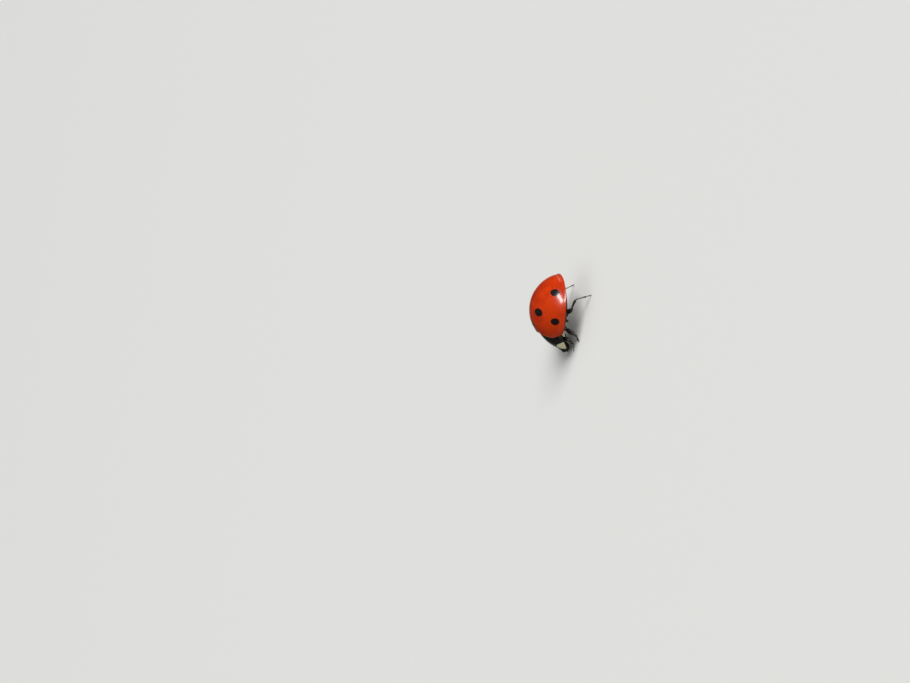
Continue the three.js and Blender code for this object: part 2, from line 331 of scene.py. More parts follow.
def make_piece(name, bm, place, material, nodes=(), sharp=math.radians(45)):
    """Puts a finished mesh in the scene as a piece that rides on the frame."""
    bm.transform(IN_METRES @ place)
    for face in bm.faces:
        face.smooth = True
    for edge in bm.edges:
        edge.smooth = edge.is_boundary or edge.calc_face_angle(0) < sharp
    mesh = bpy.data.meshes.new(name)
    bm.to_mesh(mesh)
    bm.free()
    mesh.materials.append(material)
    piece = bpy.data.objects.new(name, mesh)
    show(piece)
    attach(piece, "root")
    if nodes:
        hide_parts(*nodes)
    return piece


def give_wall(piece, thickness, bevel):
    """Turns an open shell into a closed wall with eased edges."""
    wall = piece.modifiers.new("Wall", "SOLIDIFY")
    wall.thickness = thickness * MM
    wall.offset = -1
    wall.use_quality_normals = True
    edges = piece.modifiers.new("Edges", "BEVEL")
    edges.width = bevel * MM
    edges.segments = 2
    edges.limit_method = "ANGLE"
    edges.angle_limit = math.radians(50)


# ---- Node tools ----


def put(tree, kind, inputs=None, **settings):
    """Adds a node, with its settings, and its inputs linked or set."""
    added = tree.nodes.new(kind)
    for key, value in settings.items():
        setattr(added, key, value)
    for key, value in (inputs or {}).items():
        if isinstance(value, bpy.types.NodeSocket):
            tree.links.new(value, added.inputs[key])
        else:
            added.inputs[key].default_value = value
    return added


def put_group(tree, group, inputs):
    return put(tree, "ShaderNodeGroup", inputs, node_tree=group)


def maths(tree, operation, *values):
    inputs = dict(enumerate(values))
    return put(tree, "ShaderNodeMath", inputs, operation=operation).outputs[0]


def ramp(tree, value, low, high):
    """Runs smoothly from 0 to 1 as a value goes from low to high."""
    inputs = {"Value": value, "From Min": low, "From Max": high}
    return put(tree, "ShaderNodeMapRange", inputs, interpolation_type="SMOOTHSTEP").outputs["Result"]


def blend(tree, factor, first, second):
    """Mixes two colours."""
    mix = put(tree, "ShaderNodeMix", data_type="RGBA")
    for socket, value in ((mix.inputs[0], factor), (mix.inputs[6], first), (mix.inputs[7], second)):
        if isinstance(value, bpy.types.NodeSocket):
            tree.links.new(value, socket)
        else:
            socket.default_value = value
    return mix.outputs[2]


def new_group(name, inputs, outputs):
    """An empty shader node group with named sockets, and its ends."""
    group = bpy.data.node_groups.new(name, "ShaderNodeTree")
    for socket_name, kind, default in inputs:
        socket = group.interface.new_socket(socket_name, in_out="INPUT", socket_type=kind)
        if default is not None:
            socket.default_value = default
    for socket_name, kind in outputs:
        group.interface.new_socket(socket_name, in_out="OUTPUT", socket_type=kind)
    return group, group.nodes.new("NodeGroupInput").outputs, group.nodes.new("NodeGroupOutput")


def pits_group():
    """Fine round pits, as on a beetle's shell. Puts out a height, 1 between the pits."""
    group, given, end = new_group(
        "Fine Pits",
        [("Vector", "NodeSocketVector", None), ("Spacing", "NodeSocketFloat", 0.1),
         ("Pit Radius", "NodeSocketFloat", 0.3), ("Unevenness", "NodeSocketFloat", 0.2)],
        [("Height", "NodeSocketFloat")])
    scale = maths(group, "DIVIDE", 1.0, given["Spacing"])
    places = {"Vector": given["Vector"], "Scale": scale, "Randomness": 0.8}
    cells = put(group, "ShaderNodeTexVoronoi", places)
    pit = ramp(group, cells.outputs["Distance"], 0.04, given["Pit Radius"])
    waves = put(group, "ShaderNodeTexNoise", {"Vector": given["Vector"], "Scale": 1.6, "Detail": 3.0})
    uneven = maths(group, "MULTIPLY", waves.outputs["Fac"], given["Unevenness"])
    group.links.new(maths(group, "ADD", pit, uneven), end.inputs["Height"])
    return group


def spot_group():
    """A spot, round or squarish, with a slightly wavering edge. Puts out a mask, 1 inside the spot."""
    group, given, end = new_group(
        "Spot",
        [("Vector", "NodeSocketVector", None), ("Centre", "NodeSocketVector", None),
         ("Radii", "NodeSocketVector", (1, 1, 1)), ("Squareness", "NodeSocketFloat", 2.0),
         ("Softness", "NodeSocketFloat", 0.06), ("Waver", "NodeSocketFloat", 0.12)],
        [("Mask", "NodeSocketFloat")])
    pair = {0: given["Vector"], 1: given["Centre"]}
    offset = put(group, "ShaderNodeVectorMath", pair, operation="SUBTRACT")
    pair = {0: offset.outputs[0], 1: given["Radii"]}
    shares = put(group, "ShaderNodeVectorMath", pair, operation="DIVIDE")
    parts = put(group, "ShaderNodeSeparateXYZ", {0: shares.outputs[0]})
    x, y, z = (maths(group, "POWER", maths(group, "ABSOLUTE", parts.outputs[axis]), given["Squareness"])
               for axis in "XYZ")
    total = maths(group, "ADD", maths(group, "ADD", x, y), z)
    distance = maths(group, "POWER", total, maths(group, "DIVIDE", 1.0, given["Squareness"]))
    waves = put(group, "ShaderNodeTexNoise", {"Vector": given["Vector"], "Scale": 2.4, "Detail": 2.0})
    shift = maths(group, "MULTIPLY", maths(group, "SUBTRACT", waves.outputs["Fac"], 0.5), given["Waver"])
    edge = maths(group, "ADD", distance, shift)
    inner = maths(group, "SUBTRACT", 1.0, given["Softness"])
    outer = maths(group, "ADD", 1.0, given["Softness"])
    mask = maths(group, "SUBTRACT", 1.0, ramp(group, edge, inner, outer))
    group.links.new(mask, end.inputs["Mask"])
    return group


def mottle_group():
    """Uneven tone from cloudy and fine grain. Puts out a colour and a value for roughness."""
    group, given, end = new_group(
        "Mottle",
        [("Vector", "NodeSocketVector", None), ("Light", "NodeSocketColor", (1, 1, 1, 1)),
         ("Dark", "NodeSocketColor", (0, 0, 0, 1)), ("Cloud Size", "NodeSocketFloat", 1.0),
         ("Rough Low", "NodeSocketFloat", 0.2), ("Rough High", "NodeSocketFloat", 0.4)],
        [("Color", "NodeSocketColor"), ("Roughness", "NodeSocketFloat")])
    scale = maths(group, "DIVIDE", 1.0, given["Cloud Size"])
    clouds = put(group, "ShaderNodeTexNoise", {"Vector": given["Vector"], "Scale": scale, "Detail": 5.0})
    fine = maths(group, "MULTIPLY", scale, 9.0)
    grain = put(group, "ShaderNodeTexNoise", {"Vector": given["Vector"], "Scale": fine, "Detail": 2.0})
    amount = ramp(group, clouds.outputs["Fac"], 0.35, 0.65)
    group.links.new(blend(group, amount, given["Light"], given["Dark"]), end.inputs["Color"])
    span = maths(group, "SUBTRACT", given["Rough High"], given["Rough Low"])
    rough = maths(group, "MULTIPLY_ADD", grain.outputs["Fac"], span, given["Rough Low"])
    group.links.new(rough, end.inputs["Roughness"])
    return group


def painted(tree, groups, colour, mark, paint):
    """The colour with a spot of paint on it."""
    spot = put_group(tree, groups["spot"], mark)
    return blend(tree, spot.outputs["Mask"], colour, paint)


def frame_vector(tree, place):
    """Object coordinates as millimetres in a part's own frame."""
    coords = put(tree, "ShaderNodeTexCoord").outputs["Object"]
    location, turn, _ = place.decompose()
    inputs = {"Vector": coords, "Location": location * MM, "Rotation": turn.to_euler(),
              "Scale": (MM, MM, MM)}
    return put(tree, "ShaderNodeMapping", inputs, vector_type="TEXTURE").outputs[0]


def both_sides(tree, vector):
    """The vector with its sideways part made positive, so that a pattern is the same on both sides."""
    parts = put(tree, "ShaderNodeSeparateXYZ", {0: vector})
    sideways = maths(tree, "ABSOLUTE", parts.outputs["X"])
    inputs = {"X": sideways, "Y": parts.outputs["Y"], "Z": parts.outputs["Z"]}
    return put(tree, "ShaderNodeCombineXYZ", inputs).outputs[0], sideways, parts


PIT_DEPTH = 0.012
COAT_ROUGHNESS = 0.1
SHELL_SHINE = 0.15


def shell_material(name, place, groups, light, dark, rough, pits, coat, bump=0.4, cloud=1.2):
    """A horny surface: mottled colour under fine pits, with a clear coat. The caller paints marks on it.

    Rough is the range of roughness, and pits are given by their spacing and radius.
    """
    material = bpy.data.materials.new(name)
    material.use_nodes = True
    tree = material.node_tree
    shader = tree.nodes["Principled BSDF"]
    vector = frame_vector(tree, place)
    tone = put_group(tree, groups["mottle"], {
        "Vector": vector, "Light": light, "Dark": dark, "Cloud Size": cloud,
        "Rough Low": rough[0], "Rough High": rough[1],
    })
    heights = put_group(tree, groups["pits"], {"Vector": vector, "Spacing": pits[0], "Pit Radius": pits[1]})
    inputs = {"Height": heights.outputs["Height"], "Strength": bump, "Distance": PIT_DEPTH * MM}
    relief = put(tree, "ShaderNodeBump", inputs)
    tree.links.new(tone.outputs["Color"], shader.inputs["Base Color"])
    tree.links.new(tone.outputs["Roughness"], shader.inputs["Roughness"])
    tree.links.new(relief.outputs["Normal"], shader.inputs["Normal"])
    shader.inputs["Coat Weight"].default_value = coat
    shader.inputs["Coat Roughness"].default_value = COAT_ROUGHNESS
    shader.inputs["Specular IOR Level"].default_value = SHELL_SHINE
    return material, tree, shader, vector, tone.outputs["Color"]


# ---- Settings ----


def length_setting(name, description, millimetres):
    return FloatProperty(name=name, description=description, default=millimetres * MM, min=0.0,
                         precision=6, unit="LENGTH")


def colour_setting(name, description, colour):
    return FloatVectorProperty(name=name, description=description, default=(*colour, 1.0), size=4,
                               min=0.0, max=1.0, subtype="COLOR")


class LadybirdCaseSettings(bpy.types.PropertyGroup):
    length: length_setting("Length", "Wing cases, from the scutellum to the tip", 5.9)
    half_width: length_setting("Half width", "From the suture to the margin", 2.75)
    height: length_setting("Height", "Top of the dome above its margin", 2.8)
    lip: length_setting("Lip", "How far the margin flares outwards", 0.03)
    spot_size: FloatProperty(name="Spot size", description="Scales every spot", default=1.0, min=0.0)
    red: colour_setting("Red", "Main colour of the wing cases", (0.52, 0.034, 0.0004))
    deep_red: colour_setting("Deep red", "Darker red that the main colour drifts to", (0.42, 0.020, 0.0003))
    black: colour_setting("Spot black", "Colour of the spots", (0.008, 0.007, 0.006))
    cream: colour_setting("Cream", "Small marks beside the scutellum", (0.72, 0.62, 0.42))


class LadybirdBodySettings(bpy.types.PropertyGroup):
    shield_half_width: length_setting("Shield half width", "Half width of the pronotum", 1.82)
    shield_height: length_setting("Shield height", "Height of the pronotum above its margin", 1.32)
    head_half_width: length_setting("Head half width", "Half width of the head without the eyes", 0.92)
    shell: colour_setting("Shell black", "Colour of the head, pronotum and scutellum", (0.01, 0.009, 0.009))
    ivory: colour_setting("Ivory", "Corner marks of the pronotum and the side plates", (0.74, 0.70, 0.50))
    underside: colour_setting("Underside", "Colour of the belly plates", (0.016, 0.013, 0.011))
    horn: colour_setting("Horn", "Colour of the feelers and palps", (0.13, 0.062, 0.022))
    eye_half_height: length_setting("Eye half height", "Half height of a compound eye", 0.3)


class LadybirdLegSettings(bpy.types.PropertyGroup):
    thigh_radius: length_setting("Thigh radius", "Greatest radius of the thigh", 0.25)
    shin_radius: length_setting("Shin radius", "Greatest radius of the shin", 0.125)
    foot_radius: length_setting("Foot radius", "Greatest radius of the foot's joints", 0.115)
    leg_black: colour_setting("Leg black", "Colour of the legs", (0.014, 0.011, 0.010))
    claw: colour_setting("Claw", "Colour of the claws", (0.16, 0.07, 0.02))
    hair: colour_setting("Hair", "Colour of the short hairs", (0.42, 0.36, 0.25))
    hair_length: length_setting("Hair length", "Usual length of a hair", 0.085)
    hairs_per_leg: IntProperty(name="Hairs on a leg", description="Number of hairs on each leg",
                               default=320, min=0)


class LadybirdStageSettings(bpy.types.PropertyGroup):
    floor: colour_setting("Floor", "Colour of the floor", (0.80, 0.80, 0.77))
    lens: FloatProperty(name="Lens", description="Focal length in millimetres", default=90.0, unit="CAMERA")
    distance: length_setting("Distance", "From the wing cases' front edge to the camera", 225.5)
    azimuth: FloatProperty(name="Azimuth", description="Camera's heading round the model",
                           default=math.radians(103.92), subtype="ANGLE")
    elevation: FloatProperty(name="Elevation", description="Camera's height angle",
                             default=math.radians(20.53), subtype="ANGLE")
    roll: FloatProperty(name="Roll", description="Camera's turn about its own axis",
                        default=math.radians(-82.29), subtype="ANGLE")
    aim: FloatVectorProperty(name="Aim", description="Point on the camera's axis",
                             default=(-2.342 * MM, -4.961 * MM, 11.077 * MM), unit="LENGTH", precision=6)
    key: FloatProperty(name="Key light", description="Power that the panel lights are shares of, in watts",
                       default=10.0, min=0.0)


# ---- Wing cases and scutellum ----

CASE_SPOTS = {  # centre and radii in the body's frame, left side
    "shoulder": ((2.53, 1.8, 1.0), (0.43, 0.37, 0.43)),
    "middle": ((1.36, 2.37, 2.43), (0.52, 0.4, 0.52)),
    "rear": ((1.85, 4.55, 1.14), (0.47, 0.34, 0.47)),
}
SCUTELLAR_SPOT = ((0, 0.66, 2.25), (0.44, 0.46, 0.7))
CREAM_MARK = {"Centre": (0.5, 0.04, 1.62), "Radii": (0.3, 0.17, 0.4), "Softness": 0.1, "Waver": 0.3}
MARGIN_BROWN = (0.09, 0.012, 0.002, 1)
# The suture's dark line is partly the suture's own dark edge and partly painted shade where the two cases
# meet.
SUTURE_EDGE_AND_SHADE = (0.02, 0.06, 0.75)  # where each dark band starts to fade, where it ends, and its strength
MARGIN_BAND = (0.0, 0.12, 0.55)
SCUTELLUM = {"half_width": 0.24, "length": 0.38, "front": 0.02, "rise": 0.05}
SCUTELLUM_GAP = {"side": 0.02, "end": 0.03}
CASE_GAP = 0.003  # from the middle of the suture to each wing case
CASE_WALL = 0.05
LIP_HEIGHT = 0.2
LIP_SCORES = (0.008, 0.018, 0.032)  # heights of extra edge loops that keep the margin crisp
MARGIN_RISE = 0.15  # of the margin, over a stretch from the shoulder back
RISE_RUN = (0.6, 2.8)
TAIL = (4.6, 5.7)  # where the lip grows wider, over a groove
TAIL_LIP = 0.025
TAIL_GROOVE = {"depth": 0.02, "height": 0.22, "width": 0.08}
SHOULDER = {"depth": 0.85, "height": 1.05}  # of the rounded outer front corner
WINGS = {"depth": 0.055, "wall": 0.03, "front": 0.2, "lowest": 0.3, "fold_width": 0.06, "fold_depth": 0.02}
# The rolled margin and the turned-under rim, as steps outwards and to a height.
CASE_RIM = [(0.01, -0.012), (0.008, -0.03), (-0.016, -0.05), (-0.12, -0.055), (-0.26, -0.03), (-0.42, 0.02)]


def case_dome(inset=0.0, **underside):
    case = bpy.context.scene.ladybird_case
    length = case.length / MM
    return Dome(half_width=case.half_width / MM - inset, centre=0.42 * length, front=0.55 * length - inset,
                rear=0.577 * length - inset, squareness=2.22, top=case.height / MM - inset, slope=0.5,
                rear_slope=0.62, **underside)


def shoulder_bow(x, z):
    """The base curve, with the outer front corner rounded off."""
    return base_bow(x, z) - SHOULDER["depth"] * max(0, 1 - z / SHOULDER["height"]) ** 2


def add_rim(bm, dome, edges, steps):
    """Rolls an open lower edge outwards, down and under, one strip for each step."""
    roots = {}
    for edge in edges:
        for vert in edge.verts:
            roots[vert] = (vert.co.copy(), dome.outwards(vert.co))
    for out, height in steps:
        made = bmesh.ops.extrude_edge_only(bm, edges=edges)["geom"]
        fresh = {item for item in made if isinstance(item, bmesh.types.BMVert)}
        edges = [item for item in made if isinstance(item, bmesh.types.BMEdge) and set(item.verts) <= fresh]
        carried = {}
        for vert in fresh:
            root, outwards = min(roots.values(), key=lambda entry: (entry[0].xy - vert.co.xy).length)
            carried[vert] = (root, outwards)
        for vert, (root, outwards) in carried.items():
            vert.co = root + outwards * out + Vector((0, 0, height))
        roots = {vert: (vert.co - Vector((0, 0, height)) - outwards * out, outwards)
                 for vert, (_, outwards) in carried.items()}


def wing_case(side, material):
    case = bpy.context.scene.ladybird_case
    dome = case_dome()
    bm = sphere(128, 88, "Y")
    drop_verts(bm, lambda co: co.x < -TINY or co.z < -TINY)
    for height in LIP_SCORES:
        score(bm, (0, 0, height), (0, 0, 1))
    dome.shape(bm)
    for vert in bm.verts:
        low = max(0, 1 - vert.co.z / LIP_HEIGHT)
        tail = smooth_step(*TAIL, vert.co.y)
        groove = ridge(vert.co.z - TAIL_GROOVE["height"], TAIL_GROOVE["width"])
        flare = (case.lip / MM + TAIL_LIP * tail) * low ** 2 - TAIL_GROOVE["depth"] * tail * groove
        vert.co += dome.outwards(vert.co) * flare
        vert.co.x = max(vert.co.x, CASE_GAP)
    cut_curve(bm, shoulder_bow, 0, -1)
    length = SCUTELLUM["length"] + SCUTELLUM_GAP["end"]
    half = SCUTELLUM["half_width"] + SCUTELLUM_GAP["side"]
    cut(bm, (half, 0, 0), (-length, -half, 0))
    rim = [e for e in bm.edges if e.is_boundary and all(abs(v.co.z) < TINY for v in e.verts)]
    add_rim(bm, dome, rim, CASE_RIM)
    for vert in bm.verts:
        vert.co.x = max(vert.co.x, CASE_GAP)
        low = 1 - max(0, vert.co.z) / dome.top
        vert.co.z += MARGIN_RISE * smooth_step(*RISE_RUN, vert.co.y) * low ** 2
    face_outwards(bm)
    word = "left" if side > 0 else "right"
    piece = make_piece("wing_case_" + word, mirrored(bm, side), BODY_FRAME, material,
                       ["elytron_" + word])
    give_wall(piece, CASE_WALL, bevel=0.012)


def folded_wings(material):
    """The hind wings, folded close under the wing cases."""
    bm = sphere(80, 64, "Y")
    drop_verts(bm, lambda co: co.z < WINGS["lowest"])
    case_dome(WINGS["depth"]).shape(bm)
    for vert in bm.verts:
        left = ridge(vert.co.x - 0.35 - 0.12 * vert.co.y, WINGS["fold_width"])
        right = ridge(vert.co.x + 0.9 - 0.1 * vert.co.y, WINGS["fold_width"])
        vert.co.z -= WINGS["fold_depth"] * (left + right)
    cut_curve(bm, base_bow, WINGS["front"], -1)
    face_outwards(bm)
    piece = make_piece("folded_wings", bm, BODY_FRAME, material)
    give_wall(piece, WINGS["wall"], bevel=0.006)


def case_material(groups):
    case = bpy.context.scene.ladybird_case
    material, tree, shader, vector, colour = shell_material(
        "Wing case", BODY_FRAME, groups, case.red, case.deep_red, rough=(0.22, 0.32), pits=(0.055, 0.34),
        coat=0.26, bump=0.2, cloud=1.6)
    even, sideways, parts = both_sides(tree, vector)
    colour = painted(tree, groups, colour, {"Vector": even, **CREAM_MARK}, case.cream)
    # Along the suture: a dark line that is partly its own dark edge and partly painted shade. Along the
    # margin: a brown band.
    bands = (
        (sideways, SUTURE_EDGE_AND_SHADE, case.black),
        (parts.outputs["Z"], MARGIN_BAND, MARGIN_BROWN),
    )
    for distance, (near, far, strength), paint in bands:
        band = maths(tree, "SUBTRACT", 1.0, ramp(tree, distance, near, far))
        colour = blend(tree, maths(tree, "MULTIPLY", band, strength), colour, paint)
    for centre, radii in (*CASE_SPOTS.values(), SCUTELLAR_SPOT):
        mark = {"Vector": even, "Centre": centre, "Radii": scaled(radii, case.spot_size)}
        colour = painted(tree, groups, colour, mark, case.black)
    tree.links.new(colour, shader.inputs["Base Color"])
    return material


def scutellum(material):
    """The small triangle between the wing cases at the front, a little above their dome."""
    half, length, front = SCUTELLUM["half_width"], SCUTELLUM["length"], SCUTELLUM["front"]
    dome = case_dome()
    bm = bmesh.new()
    spread = Matrix.Diagonal((half, length / 2 + front, 1, 1))
    bmesh.ops.create_grid(bm, x_segments=18, y_segments=18, size=1,
                          matrix=Matrix.Translation((0, length / 2 - front, 0)) @ spread)
    for side in (1, -1):
        cut(bm, (side * half, 0, 0), (side * length, half, 0))
    for vert in bm.verts:
        edge = 1 - abs(vert.co.x) / half - max(0, vert.co.y) / length
        vert.co.z = dome.height(vert.co.x, vert.co.y) + SCUTELLUM["rise"] * smooth_step(0, 0.5, edge)
    piece = make_piece("scutellum_plate", bm, BODY_FRAME, material, ["scutellum"])
    give_wall(piece, 0.08, bevel=0.015)


# ---- Pronotum and its underside ----

SHIELD_WALL = 0.06
SHIELD_LIP = 0.03
SHIELD_SCORES = (0.012, 0.028)  # heights of extra edge loops that keep the margin crisp
# The rolled margin, as steps outwards and to a height.
SHIELD_RIM = [(0.02, -0.015), (0.022, -0.045), (-0.01, -0.075), (-0.1, -0.09), (-0.24, -0.1)]
FRONT_EDGE = {"level": -1.33, "bow": 0.3, "half_width": 1.15}
PROSTERNUM = {"front": 2.3, "bottom": 0.55, "fill": 0.93, "keel": 0.07, "keel_width": 0.16, "drop": 0.1}
CORNER_MARK = {"Centre": (1.62, -1.36, 0.1), "Squareness": 3.2, "Radii": (0.58, 0.72, 0.9),
               "Softness": 0.04, "Waver": 0.2}


def shield_dome(inset=0.0, **underside):
    body = bpy.context.scene.ladybird_body
    return Dome(half_width=body.shield_half_width / MM - inset, centre=0.9, front=2.75 - inset, rear=1.2,
                squareness=3.0, top=body.shield_height / MM - inset, slope=0.7, rear_slope=0.7, **underside)


def cut_at_base(bm, gap):
    """Cuts a fore-body mesh where the wing cases begin."""
    bm.transform(FOREBODY_IN_BODY)
    cut_curve(bm, base_bow, -gap, 1)
    bm.transform(FOREBODY_IN_BODY.inverted())


def front_bow(x, _z):
    """The hollowed front edge of the pronotum, between its produced corners."""
    return FRONT_EDGE["bow"] * min(1.6, abs(x) / FRONT_EDGE["half_width"]) ** 2


def pronotum(material):
    dome = shield_dome()
    bm = sphere(128, 96, "Y")
    drop_verts(bm, lambda co: co.z < -TINY)
    for height in SHIELD_SCORES:
        score(bm, (0, 0, height), (0, 0, 1))
    dome.shape(bm)
    cut_curve(bm, front_bow, FRONT_EDGE["level"], -1)
    cut_at_base(bm, BASE_GAP)
    for vert in bm.verts:
        low = max(0, 1 - vert.co.z / LIP_HEIGHT)
        vert.co += dome.outwards(vert.co) * SHIELD_LIP * low ** 2
    rim = [e for e in bm.edges if e.is_boundary and all(abs(v.co.z) < TINY for v in e.verts)]
    add_rim(bm, dome, rim, SHIELD_RIM)
    face_outwards(bm)
    piece = make_piece("pronotum_shield", bm, FOREBODY_FRAME, material, ["pronotum"])
    give_wall(piece, SHIELD_WALL, bevel=0.012)


def shield_material(groups):
    body = bpy.context.scene.ladybird_body
    material, tree, shader, vector, colour = shell_material(
        "Pronotum", FOREBODY_FRAME, groups, body.shell, body.shell, rough=(0.2, 0.34), pits=(0.075, 0.36),
        coat=1.0, bump=0.35)
    even, _, _ = both_sides(tree, vector)
    stain = {"Vector": vector, "Light": body.ivory, "Dark": (0.60, 0.54, 0.33, 1.0), "Cloud Size": 0.5}
    ivory = put_group(tree, groups["mottle"], stain).outputs["Color"]
    colour = painted(tree, groups, colour, {"Vector": even, **CORNER_MARK}, ivory)
    tree.links.new(colour, shader.inputs["Base Color"])
    return material


def prosternum(material):
    """The fore body under the pronotum, which it fills, with a keel below."""
    dome = shield_dome(0.05, bottom=PROSTERNUM["bottom"], belly_slope=0.75)
    dome.front = PROSTERNUM["front"]
    bm = sphere(72, 56, "Y")
    for vert in bm.verts:
        vert.co = dome.place(vert.co)
        if vert.co.z > 0:
            vert.co.z *= PROSTERNUM["fill"]
        keel = ridge(vert.co.x, PROSTERNUM["keel_width"]) * smooth_step(-0.2, -0.5, vert.co.z)
        vert.co.z -= PROSTERNUM["keel"] * keel + PROSTERNUM["drop"]
    cut_at_base(bm, BASE_GAP)
    close_up(bm)
    make_piece("prosternum_plate", bm, FOREBODY_FRAME, material, ["prosternum"])


# ---- Trunk ----

WAIST = 2.3  # where the thorax ends
WAIST_GAP = 0.003  # from there to the abdomen
BELLY_DEPTH = 0.8
STERNITES = 6
STERNITE_STEP = 0.035  # how far each plate's rear edge stands proud
STERNITE_EASE = 0.02  # half of the step from one plate's edge to the next plate
PLATE_SAG = {"depth": 0.12, "half_width": 2}  # how far each plate's edge stands forward at the side
BELLY_MIDDLE = Vector((0, WAIST + 1.2, 0.5))
COLLAR_INSET = 0.09  # of the thorax, under the front of the wing cases
COLLAR_RUN = (1.3, 0.4)  # where the collar narrows to the thorax, and where it is at its full width
THORAX_GROOVE = 0.03
SIDE_PLATE = {"top": (1.56, 0.62, -0.1), "tip": (1.28, -0.06, -0.66), "flatness": 0.45}
SIDE_PLATE_RADII = [0.1, 0.17, 0.17, 0.12, 0.05]


def belly_dome(inset=0.52):
    return case_dome(inset, bottom=BELLY_DEPTH, belly_slope=0.75, front_fullness=0.4)


def thorax(material):
    """The thorax, with a collar that fills the front of the wing cases."""
    bm = sphere(112, 96, "Y")
    belly, collar = belly_dome(), belly_dome(COLLAR_INSET)
    for vert in bm.verts:
        narrow, wide = belly.place(vert.co), collar.place(vert.co)
        share = smooth_step(*COLLAR_RUN, narrow.y) * smooth_step(-0.05, 0.25, vert.co.z)
        vert.co = narrow.lerp(wide, share)
    cut_curve(bm, base_bow, BASE_GAP, -1)
    cut(bm, (0, WAIST, 0), (0, 1, 0))
    for vert in bm.verts:
        x, y, z = vert.co
        under = smooth_step(-0.1, -0.35, z)
        seam = ridge(x, 0.035) * smooth_step(0.9, 1.1, y)
        flank = ridge(abs(x) - 1.25 - 0.18 * (y - 0.8), 0.04)
        cross = ridge(y - 1.15 - 0.1 * abs(x), 0.045) * smooth_step(0.5, 0.8, abs(x))
        vert.co.z += THORAX_GROOVE * under * max(seam, flank, cross)
    close_up(bm)
    make_piece("thorax_plates", bm, BODY_FRAME, material, ["thorax"])


def plate_sag(x, _z=0):
    """The curve of the belly plates' rear edges."""
    return PLATE_SAG["depth"] * (x / PLATE_SAG["half_width"]) ** 2


def abdomen(material):
    """The abdomen, with a row of belly plates that each end in a small step."""
    dome = belly_dome()
    bm = sphere(112, 96, "Y")
    dome.shape(bm)
    cut(bm, (0, WAIST + WAIST_GAP, 0), (0, -1, 0))
    rear = dome.centre + dome.rear
    length = (rear - WAIST) / STERNITES
    for plate in range(1, STERNITES):
        bend(bm, plate_sag, 1)
        for ease in (-STERNITE_EASE, STERNITE_EASE):
            score(bm, (0, WAIST + plate * length + ease, 0), (0, 1, 0))
        bend(bm, plate_sag, -1)
    for vert in bm.verts:
        place = (vert.co.y + plate_sag(vert.co.x) - WAIST) / length
        share = place - math.floor(place + STERNITE_EASE / length + TINY)
        under = smooth_step(0.05, -0.15, vert.co.z)
        outwards = (vert.co - BELLY_MIDDLE).normalized()
        vert.co += outwards * STERNITE_STEP * max(0, share) ** 2 * under
    close_up(bm)
    make_piece("abdomen_plates", bm, BODY_FRAME, material, ["abdomen"])


def side_plates(material):
    for word, side in SIDES.items():
        top = mirror_point(SIDE_PLATE["top"], side)
        tip = mirror_point(SIDE_PLATE["tip"], side)
        bm = turned((tip - top).length, SIDE_PLATE_RADII, rings=28, steps=44)
        bm.transform(Matrix.Diagonal((1, SIDE_PLATE["flatness"], 1, 1)))
        place = BODY_FRAME @ along(top, tip, (side, 0, 0))
        make_piece("side_plate_" + word, bm, place, material, ["mesepimeron_" + word])


# ---- Head ----

HEAD_FRAME = FOREBODY_FRAME @ Matrix.Translation((0, -1.69, -0.05))
CAPSULE_IN_HEAD = Matrix.Rotation(0.3, 4, "X")
HEAD = {"half_length": 0.62, "half_depth": 0.54, "squareness": 2.3, "narrowing": 0.24}
FACE = {"y": -0.53, "bulge": 0.45}  # where the face flattens, and the share of its bulge that stays
CHEEK_SPUR = {"centre": (0.74, -0.33, 0.05), "radii": (0.13, 0.085, 0.028)}
HEAD_SPOT = {"Centre": (0.5, -0.16, 0.45), "Radii": (0.11, 0.17, 0.2), "Softness": 0.12, "Waver": 0.5}
HEAD_RELIEF = {"hollow": -0.035, "suture": -0.008, "shelf": 0.008, "socket": -0.035, "brow": 0.028}
ORBIT_RISE = 0.016  # height of the rim round an eye, and depth of the groove inside the rim
FEELER_SOCKET = Vector((0.6, -0.46, 0.09))
BROW = Vector((0.55, -0.36, 0.22))
EYE = {"half_width": 0.22, "half_length": 0.26, "orbit_half_height": 0.3, "facet": -0.03}
EYE_CENTRE = Vector((0.78, -0.11, 0.16))
EYE_NOTCH = Vector((0, -0.9, -0.43))  # where the cheek's spur cuts into the eye
NOTCH_DEPTH = 0.2
FEELER_PATH = [(0.56, -0.43, -0.05), (1.12, -0.64, -0.07), (1.54, -0.26, 0.05)]
FEELER_JOINTS = [  # length and radius, from the head outwards
    (0.2, 0.07), (0.1, 0.055), (0.13, 0.036), (0.085, 0.034), (0.085, 0.034), (0.075, 0.036),
    (0.075, 0.04), (0.07, 0.05), (0.1, 0.075), (0.1, 0.094), (0.12, 0.09),
]
JOINT_PROFILE = (0.5, 0.85, 1)
JOINT_OVERLAP = 1.14  # how much longer a joint is than its place in the row
CLUB = {"joints": 3, "overlap": 1.2, "flatness": 0.66}
PALP = {"root": (0.34, -0.15, -0.32), "elbow": (0.45, -0.33, -0.33), "tip": (0.62, -0.47, -0.22)}
PALP_OVERLAP = 1.1
PALP_STEM = [0.05, 0.07, 0.06]
PALP_AXE = [0.05, 0.09, 0.13, 0.145]
AXE_FLATNESS = 0.42
LIP_PALP = {"root": (0.13, -0.36, -0.36), "run": (0.04, -0.2, -0.02), "length": 0.15}
LIP_PALP_RADII = [0.03, 0.042, 0.032]
LIP = {"half_width": 0.34, "half_length": 0.18, "half_depth": 0.08, "squareness": 3.5}
LIP_PLACE = Matrix.Translation((0, -0.5, -0.19)) @ Matrix.Rotation(0.75, 4, "X")
JAW = {"root": (0.27, -0.36, -0.27), "tip": (0.05, -0.54, -0.3), "length": 0.27, "flatness": 0.6}
JAW_RADII = [0.09, 0.1, 0.075, 0.03]


